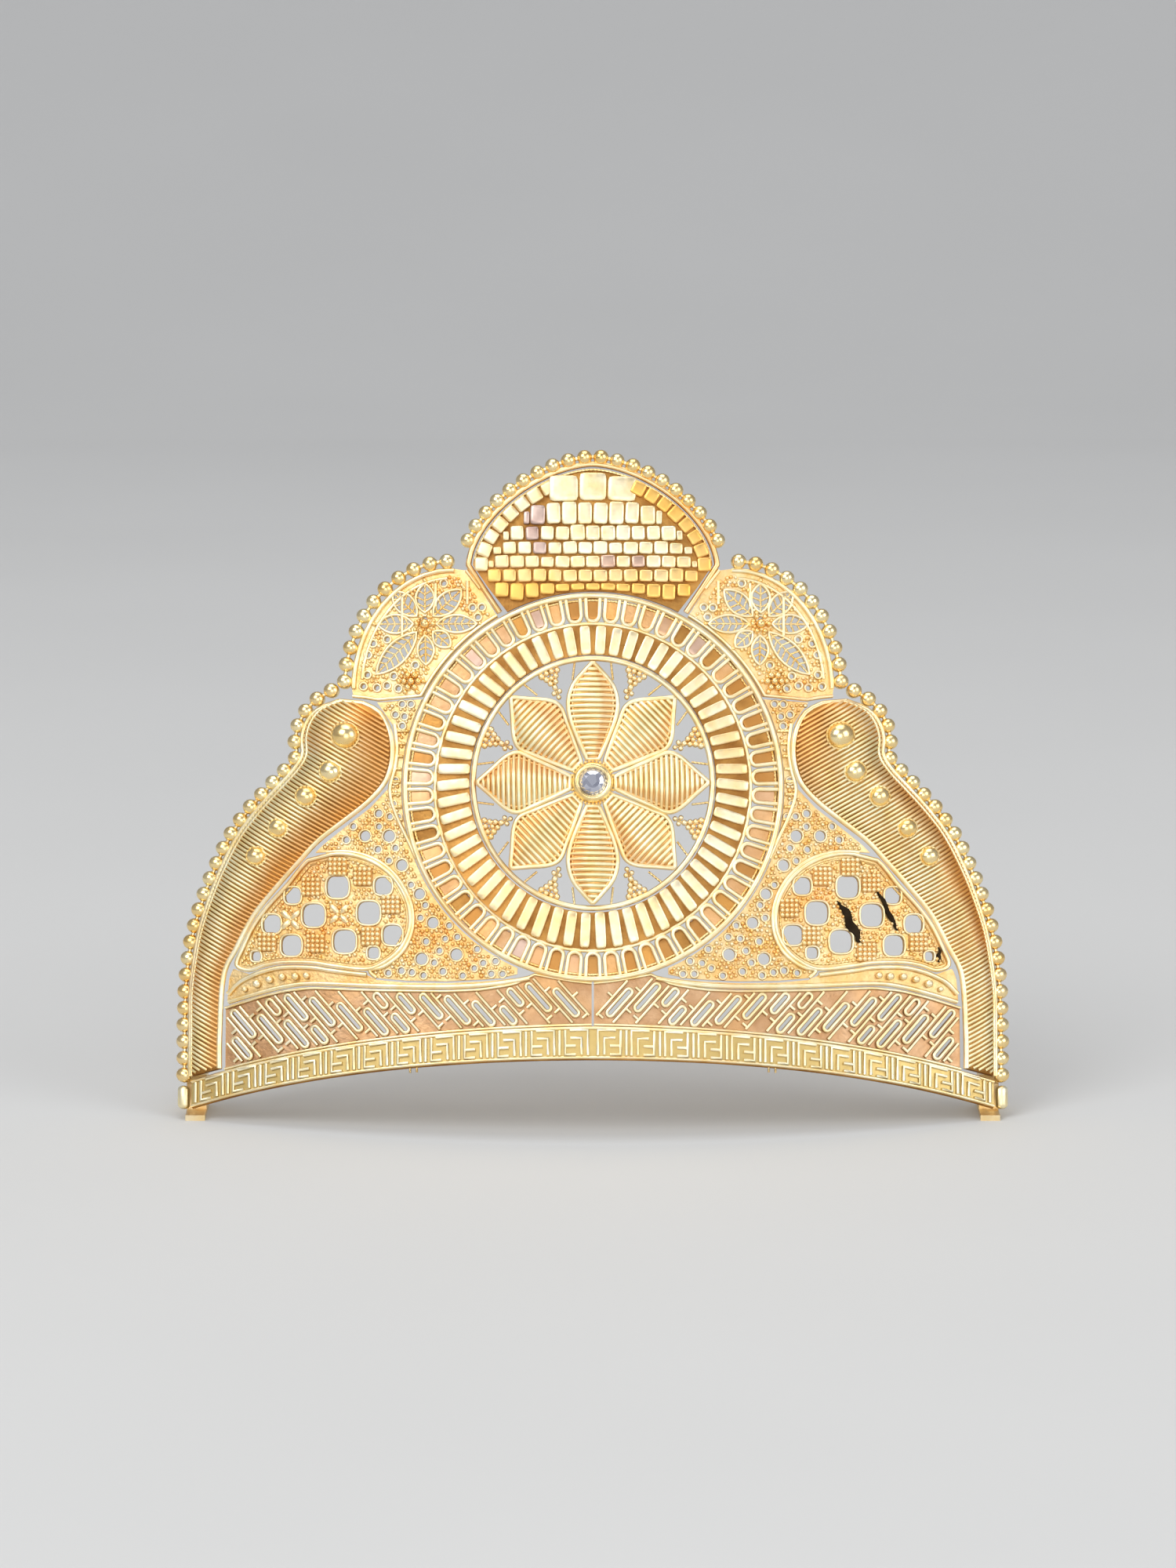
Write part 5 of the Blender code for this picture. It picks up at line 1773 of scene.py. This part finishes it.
    @staticmethod
    def _grains(squares: Line) -> Line:
        """Four rows of four granules for each square: across, up, out and radius."""
        steps = (-1.26, -0.42, 0.42, 1.26)
        return [(x + right, y + up, 0.42, 0.46) for x, y in squares for right in steps for up in steps]


@dataclass
class Spandrels:
    """The openwork fill between the medallion, the arms and the side panels."""

    arm_side: Line = table(
        (38.6, 74.5), (37.3, 72.7), (35.5, 70.0), (34.8, 66.4), (35.2, 62.6), (36.6, 59.0), (39.8, 55.6),
        (44.2, 52.2), (48.2, 49.0), (49.6, 47.6),
    )
    panel_side: Line = table(
        (47.5, 47.7), (43.4, 47.8), (38.9, 46.5), (35.3, 43.9), (33.0, 40.5), (32.0, 37.1), (32.2, 33.3),
        (33.9, 29.9), (37.1, 27.4), (39.6, 26.7), (38.4, 25.4),
    )
    foot: Line = table((33.0, 24.95), (26.0, 24.9), (20.0, 25.2), (16.5, 25.5), (13.4, 26.2))
    ring_side: Spot = (-67.0, 26.6)
    holes: Line = table(
        # across, up, radius
        (40.6, 50.6, 1.1), (36.3, 50.6, 1.2), (34.0, 45.4, 1.15), (30.8, 40.3, 1.1), (28.4, 35.2, 1.15),
        (24.2, 29.6, 1.2), (30.4, 28.8, 1.2), (38.2, 54.6, 0.8), (44.0, 49.9, 0.7), (38.3, 48.2, 0.7),
        (32.0, 49.2, 0.6), (30.2, 45.2, 0.6), (27.4, 39.2, 0.6), (29.6, 31.9, 0.7), (26.6, 26.6, 0.7),
        (34.0, 26.7, 0.7), (21.0, 27.2, 0.6), (26.2, 32.4, 0.6), (37.4, 58.2, 0.6),
    )
    companion: Line = table(
        (35.4, 70.6), (34.9, 66.4), (35.3, 62.6), (36.2, 58.6), (35.0, 54.3), (32.9, 49.9), (31.4, 46.6),
    )

    bar_heights: Spot = (49.0, 71.5, 2.26)

    def build(self, shop: Workshop) -> None:
        """Makes both fills."""
        ring = Medallion().rim(RING_GAP, *self.ring_side, 50)
        outline = [*self.arm_side, *self.panel_side, *self.foot, *ring]
        inside = shrunk(outline, 0.5)
        holes = [(x, y, radius - 0.15) for x, y, radius in self.holes]
        small = strewn(inside, [circle(row[:2], row[2] + 1.3, 10) for row in holes], 2.3)
        holes += [(*spot, 0.5) for spot in small]
        eyes = apart([circle(row[:2], row[2], 12) for row in holes], outline)
        rings = [offset(eye, -0.18, True) for eye in eyes]
        bare = [circle(row[:2], row[2] + 0.45, 8) for row in holes]
        lines = [smooth(line, 4) for line in (self.companion, self.panel_side)]
        for side in Side:
            meshes = [
                shop.sheet(outline, eyes, 0.05, Metal.SHEET, side),
                shop.wires(flat_routes(rings, side, 0.15, True), Metal.PALE, 0.2, 5),
                shop.wires(flat_routes(lines, side, 0.3), Metal.PLAIN_WIRE, 0.36, 8),
                shop.wires(flat_routes(self._bars(), side, 0.3), Metal.FILIGREE, 0.3),
                *shop.strew(inside, bare, side, 0.84, 0.36, 0.1),
            ]
            shop.piece(f"spandrel_filigree_{side.word}", meshes, Metal.FILIGREE, f"spandrel_{side.word}")

    def _bars(self) -> list[Line]:
        """The short bars between the medallion and the wire beside it."""
        ups, places = [row[1] for row in self.companion][::-1], [row[0] for row in self.companion][::-1]
        radii = widened(Medallion().outer_ring, 0.9)
        bars = []
        for up in np.arange(*self.bar_heights):
            near = radii[0] * math.sqrt(1.0 - ((up - Medallion().up) / radii[1]) ** 2)
            far = float(np.interp(up, ups, places))
            if far - near > 0.2:
                bars.append([(near, up), (far, up)])
        return bars


@dataclass
class Rails:
    """The two wires under each side panel, with small pearls of gold between their outer ends."""

    low: Line = table(
        (11.2, 25.5), (14.2, 24.9), (20.0, 24.2), (26.0, 23.9), (33.0, 23.9), (39.2, 24.0), (50.0, 24.3),
        (55.0, 23.7), (60.0, 22.4), (65.2, 20.8),
    )
    high: Line = table(
        (40.2, 25.9), (46.5, 26.6), (50.0, 27.1), (55.2, 27.1), (58.6, 26.4), (61.0, 25.5), (63.4, 24.2),
        (65.3, 22.2),
    )
    foot: Line = table(
        (38.4, 25.05), (33.0, 24.6), (26.0, 24.55), (20.0, 24.85), (16.5, 25.15), (14.2, 25.45),
    )
    corner: Line = table(
        (65.5, 20.9), (65.45, 22.5), (65.2, 25.0), (64.75, 26.2), (64.4, 26.75), (63.8, 26.55), (61.5, 25.8),
    )
    beads: Line = table(
        # across, up, out, radius
        (51.0, 25.7, 0.4, 0.6), (53.0, 25.5, 0.45, 0.7), (55.4, 25.4, 0.45, 0.7), (57.7, 24.9, 0.45, 0.7),
        (60.0, 24.1, 0.45, 0.7), (62.2, 23.1, 0.4, 0.5),
    )

    def build(self, shop: Workshop) -> None:
        """Makes both pairs of rails."""
        low, high = smooth(self.low, 5), smooth(self.high, 5)
        sheet = [spot for spot in low if spot[0] >= self.foot[-1][0]] + self.corner
        sheet += [spot for spot in high[::-1] if spot[0] <= 60.0] + self.foot
        for side in Side:
            pearls = [(side.value * x, y, out, r, r, r, 0.0, 0.0) for x, y, out, r in self.beads]
            meshes = [
                shop.plate(mirrored(sheet, side), [], -0.4, 0.0, Metal.SHEET),
                shop.wires(flat_routes((low, high), side, 0.2), Metal.PLAIN_WIRE, 0.45, 8),
                shop.spots(pearls, Form.BEAD, Metal.PALE),
            ]
            shop.piece(f"rail_wires_{side.word}", meshes, Metal.PLAIN_WIRE, f"rail_{side.word}")


@dataclass
class Lattice:
    """The band of slanting capsule loops and zigzag wires above the key band."""

    lean: float = math.radians(42.0)
    row_pitch: float = 3.05
    loop_length: float = 6.2
    loop_half: float = 0.62
    loop_gap: float = 1.7
    margin: float = 0.75
    rows: range = range(-6, 28)
    top: Line = table(
        (0.2, 24.6), (4.0, 25.0), (8.0, 25.7), (10.6, 26.2), (12.4, 25.0), (14.2, 24.3), (20.0, 23.4),
        (26.0, 23.1), (33.0, 23.15), (40.0, 23.2), (50.0, 23.5), (55.0, 22.9), (60.0, 21.6), (65.8, 19.7),
    )

    @property
    def period(self) -> float:
        """The distance from the start of one capsule to the start of the next."""
        return self.loop_length + self.loop_gap

    def build(self, shop: Workshop) -> None:
        """Makes both halves."""
        across = [float(x) for x in np.linspace(self.top[0][0], self.top[-1][0], 40)]
        low = [(x, KeyBand.top_at(x) + GAP) for x in across]
        high = [(x, height_at(self.top, x)) for x in across]
        outline = low + high[::-1]
        loops, hooks = self._loops(outline), self._hooks(outline)
        rings = [self._capsule(*row, self.loop_half) for row in loops]
        slits = [self._capsule(*row, self.loop_half - 0.3) for row in loops if row[2] - row[1] > 3.6]
        for side in Side:
            meshes = [
                shop.sheet(outline, apart(slits, outline), -0.05, Metal.ROSE, side),
                shop.wires(flat_routes(rings, side, 0.25, True), Metal.PALE, 0.33),
                shop.wires(flat_routes(hooks, side, 0.15), Metal.PALE, 0.32),
                shop.wires(flat_routes((low, high), side, 0.2), Metal.PLAIN_WIRE, 0.26),
            ]
            shop.piece(f"lattice_fretwork_{side.word}", meshes, Metal.FILIGREE, f"lattice_{side.word}")

    def _spot(self, along: float, beside: float) -> Spot:
        """A point of the slanted grid: the lines run up and outwards."""
        x = along * math.sin(self.lean) + beside * math.cos(self.lean)
        y = along * math.cos(self.lean) - beside * math.sin(self.lean)
        return (x, y)

    def _capsule(self, beside: float, start: float, end: float, half: float) -> Line:
        """The loop of one capsule, from its place across the grid and its two ends along it."""
        points = []
        for middle, way in ((end - half, 1.0), (start + half, -1.0)):
            for x, y in ellipse((0.0, 0.0), (half, half), 0.0, 180.0, 7):
                points.append(self._spot(middle + way * y, beside + way * x))
        return points

    def _stretches(self, beside: float, outline: Line) -> list[Spot]:
        """Where a slanted line lies inside the band: its starts and ends."""
        step, stretches, start = 0.2, [], None
        for place in np.arange(-45.0, 75.0, step):
            x, y = self._spot(float(place), beside)
            inside = within(x, y, outline)
            if inside and start is None:
                start = float(place)
            elif not inside and start is not None:
                stretches.append((start, float(place) - step))
                start = None
        return stretches

    def _loops(self, outline: Line) -> list[Spot]:
        """The capsules: their place across the grid and their two ends."""
        loops = []
        for row in self.rows:
            beside = (row + 0.5) * self.row_pitch
            for start, end in self._stretches(beside, outline):
                low, high = start + self.margin, end - self.margin
                shift = 0.5 * self.period if row % 2 else 0.0
                cut = math.floor(low / self.period) * self.period + shift - self.period
                while cut < high:
                    first, last = max(cut, low), min(cut + self.loop_length, high)
                    if last - first > 2.8:
                        loops.append((beside, first, last))
                    cut += self.period
        return loops

    def _hooks(self, outline: Line) -> list[Line]:
        """The wires between the rows of capsules, with a hook into each gap on either side."""
        lines = []
        for row in self.rows:
            beside = row * self.row_pitch
            for start, end in self._stretches(beside, outline):
                low, high = start + 0.5, end - 0.5
                if high - low < 1.5:
                    continue
                lines.append([self._spot(low, beside), self._spot(high, beside)])
                half_turn = math.floor(low / self.period) * 2
                while half_turn * 0.5 * self.period < high:
                    place = half_turn * 0.5 * self.period - 0.5 * self.loop_gap
                    reach = 1.2 if (half_turn + row) % 2 == 0 else -1.2
                    if low < place < high:
                        lines.append([self._spot(place, beside), self._spot(place, beside + reach)])
                    half_turn += 1
        return lines


BAND_END = 71.8
BAND_LOW = (11.3, -0.00143, -7.7e-8)
BAND_HEIGHT, BAND_TAPER = 5.7, 0.9


@dataclass
class KeyBand:
    """The bottom band with its raised key pattern, its edge wires and the rolls at its ends."""

    keys: int = 12
    end: float = BAND_END
    relief: float = 0.24
    lines: list[Line] = table(
        [(0.08, 0.12), (0.08, 0.88), (0.62, 0.88)],
        [(0.27, 0.14), (0.27, 0.64), (0.60, 0.64)],
        [(0.44, 0.40), (0.76, 0.40)],
        [(0.44, 0.14), (0.76, 0.14), (0.76, 0.88)],
        [(0.93, 0.12), (0.93, 0.88)],
    )
    roll_across: float = 73.4
    roll: Line = table(
        # up, radius
        (1.6, 0.35), (1.7, 0.62), (1.95, 0.88), (2.3, 1.0), (5.0, 1.0), (5.35, 0.88), (5.6, 0.62),
        (5.7, 0.35),
    )
    prongs: Spot = (31.2, 32.4)

    @staticmethod
    def low_at(across: float) -> float:
        """The arched lower edge of the crown."""
        middle, second, fourth = BAND_LOW
        return middle + second * across**2 + fourth * across**4

    @staticmethod
    def top_at(across: float) -> float:
        """The upper edge of the band."""
        return KeyBand.low_at(across) + BAND_HEIGHT - BAND_TAPER * abs(across) / BAND_END

    def build(self, shop: Workshop) -> None:
        """Makes the band and its two rolls."""
        steps = [self.end * (i / 40 - 1) for i in range(81)]
        low = [(x, self.low_at(x)) for x in steps]
        high = [(x, self.top_at(x)) for x in steps]
        pattern = [Route(lifted(line, 0.45)) for side in Side for line in self._keys(side)]
        meshes = [
            shop.plate(low + high[::-1], [], SHEET_BACK, 0.3, Metal.KEY),
            shop.wires(pattern, Metal.KEY, self.relief * math.sqrt(2.0), 4, math.pi / 4),
            shop.wires([Route([(x, y - 0.3, 0.35) for x, y in high])], Metal.PLAIN_WIRE, 0.3, 8),
            shop.wires([Route([(x, y + 0.25, 0.35) for x, y in low])], Metal.PLAIN_WIRE, 0.26, 8),
            # A dark wire along the lower edge: the painted shadow of the band's underside.
            shop.wires([Route([(x, y + 0.05, -0.1) for x, y in low])], Metal.SHADE, 0.3, 8),
            shop.wires(self._prongs(), Metal.FILIGREE, 0.2),
        ]
        shop.piece("key_pattern_band", meshes, Metal.KEY, "key_band")
        for side in Side:
            sections = []
            for up, radius in self.roll:
                ring = circle((0.0, 0.0), radius, 20)
                sections.append([(side.value * (self.roll_across + x), up, z) for x, z in ring])
            roll = shop.loft(sections, Metal.KEY)
            shop.piece(f"band_roll_{side.word}", [roll], Metal.KEY, f"end_roll_{side.word}")

    def _keys(self, side: Side) -> list[Line]:
        """The lines of the key pattern on one half."""
        pitch = (self.end - 0.8) / self.keys
        lines = []
        for key in range(self.keys):
            for shape in self.lines:
                line = []
                for share, rise in shape:
                    across = side.value * (0.4 + pitch * (key + share))
                    low, high = self.low_at(across) + 0.5, self.top_at(across) - 0.5
                    line.append((across, low + (high - low) * (rise - 0.1) / 0.8))
                lines.append(line)
        return lines

    def _prongs(self) -> list[Route]:
        """The two pairs of small prongs under the band."""
        routes = []
        for side in Side:
            for across in self.prongs:
                low = self.low_at(across)
                routes.append(Route([(side.value * across, low + shift, -0.1) for shift in (0.4, -1.0)]))
        return routes


class Studio:
    """The floor, the soft light and the camera."""

    def build(self, drawing: Drawing) -> None:
        """Sets the crown on a pale floor under soft light."""
        self._floor()
        self._lights()
        self._camera(drawing)

    def _floor(self) -> None:
        """A wide pale sheet that turns up far behind."""
        mesh = bmesh.new()
        profile = [(-2.5 + step * 0.5, 0.0) for step in range(8)]
        profile += ellipse((1.0, 1.2), (1.2, 1.2), 270.0, 360.0, 17) + [(2.2, 4.0)]
        rows = [[mesh.verts.new((x, depth, rise)) for x in (-3.5, 3.5)] for depth, rise in profile]
        for (a, b), (c, d) in zip(rows, rows[1:]):
            mesh.faces.new((a, b, d, c))
        data = kept(mesh, "floor")
        data.polygons.foreach_set("use_smooth", [True] * len(data.polygons))
        material, desk, shader = new_material("floor")
        desk.give(shader, Roughness=0.8)
        mix = desk.mix(desk.noise(desk.add("ShaderNodeTexCoord"), Scale=6.0, Detail=2.0), "Fac")
        desk.give(mix, A=(0.60, 0.60, 0.585, 1.0), B=(0.64, 0.64, 0.625, 1.0))
        desk.join(mix, "Result", shader, "Base Color")
        data.materials.append(material)
        linked("floor", data)

    def _lights(self) -> None:
        """A large soft light from each side and above, and a low general light."""
        rows = (
            # name, place, size, power
            ("key", (-0.9, -1.1, 1.3), 1.1, 15.0),
            ("fill", (1.3, -0.9, 0.7), 1.1, 9.0),
            ("top", (0.0, 0.2, 1.6), 1.2, 10.0),
            ("front", (0.1, -1.7, 0.35), 0.9, 6.5),
        )
        for name, place, size, power in rows:
            data = bpy.data.lights.new(name, "AREA")
            data.energy, data.size = power, size
            light = linked(name, data)
            light.location = place
            light.rotation_mode = "QUATERNION"
            light.rotation_quaternion = (Vector((0.0, 0.0, 0.06)) - light.location).to_track_quat("-Z", "Y")
        world = bpy.data.worlds.new("studio")
        world.use_nodes = True
        background = world.node_tree.nodes["Background"]
        background.inputs["Color"].default_value = (0.90, 0.92, 1.0, 1.0)
        background.inputs["Strength"].default_value = 0.42
        bpy.context.scene.world = world
        bpy.context.scene.view_settings.view_transform = "Standard"

    def _camera(self, drawing: Drawing) -> None:
        """A long lens at the photograph's angle and framing."""
        lens, film, picture = 150.0, 36.0, 0.279
        rise = drawing.lean - drawing.view_dip
        data = bpy.data.cameras.new("camera")
        data.lens, data.sensor_width = lens, film
        camera = linked("camera", data)
        back = Vector((0.0, -math.cos(rise), math.sin(rise)))
        middle = drawing.spot(-0.85, 59.9)
        camera.location = middle + back * (picture * lens / film)
        camera.rotation_mode = "QUATERNION"
        camera.rotation_quaternion = (-back).to_track_quat("-Z", "Y")
        bpy.context.scene.camera = camera


def dress_left_over(shop: Workshop, frame: dict) -> None:
    """Gives plain gold to every solid that still shows, which are the two end feet."""
    for node in frame["nodes"].values():
        if not node.hide_render:
            node.data.materials.clear()
            node.data.materials.append(shop.finishes[Metal.PLAIN_WIRE])


def clear_startup() -> None:
    """Removes whatever the new file holds."""
    for item in list(bpy.data.objects):
        bpy.data.objects.remove(item, do_unlink=True)


def main() -> None:
    """Builds the pieces in order, then the studio."""
    logging.basicConfig(level=logging.INFO, format="%(message)s")
    clear_startup()
    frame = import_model()
    foot_back = 10.4
    drawing = Drawing(shift=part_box("end_foot_right")[1].y / MM - foot_back)
    shop = Workshop(drawing)
    shop.open()
    assemblies = (
        BeadRows(), Crest(), Shoulders(), Arms(), Medallion(), Flower(), SidePanels(), Spandrels(), Rails(),
        Lattice(), KeyBand(),
    )
    for assembly in assemblies:
        assembly.build(shop)
    dress_left_over(shop, frame)
    shop.close()
    Studio().build(drawing)


if __name__ == "__main__":
    main()
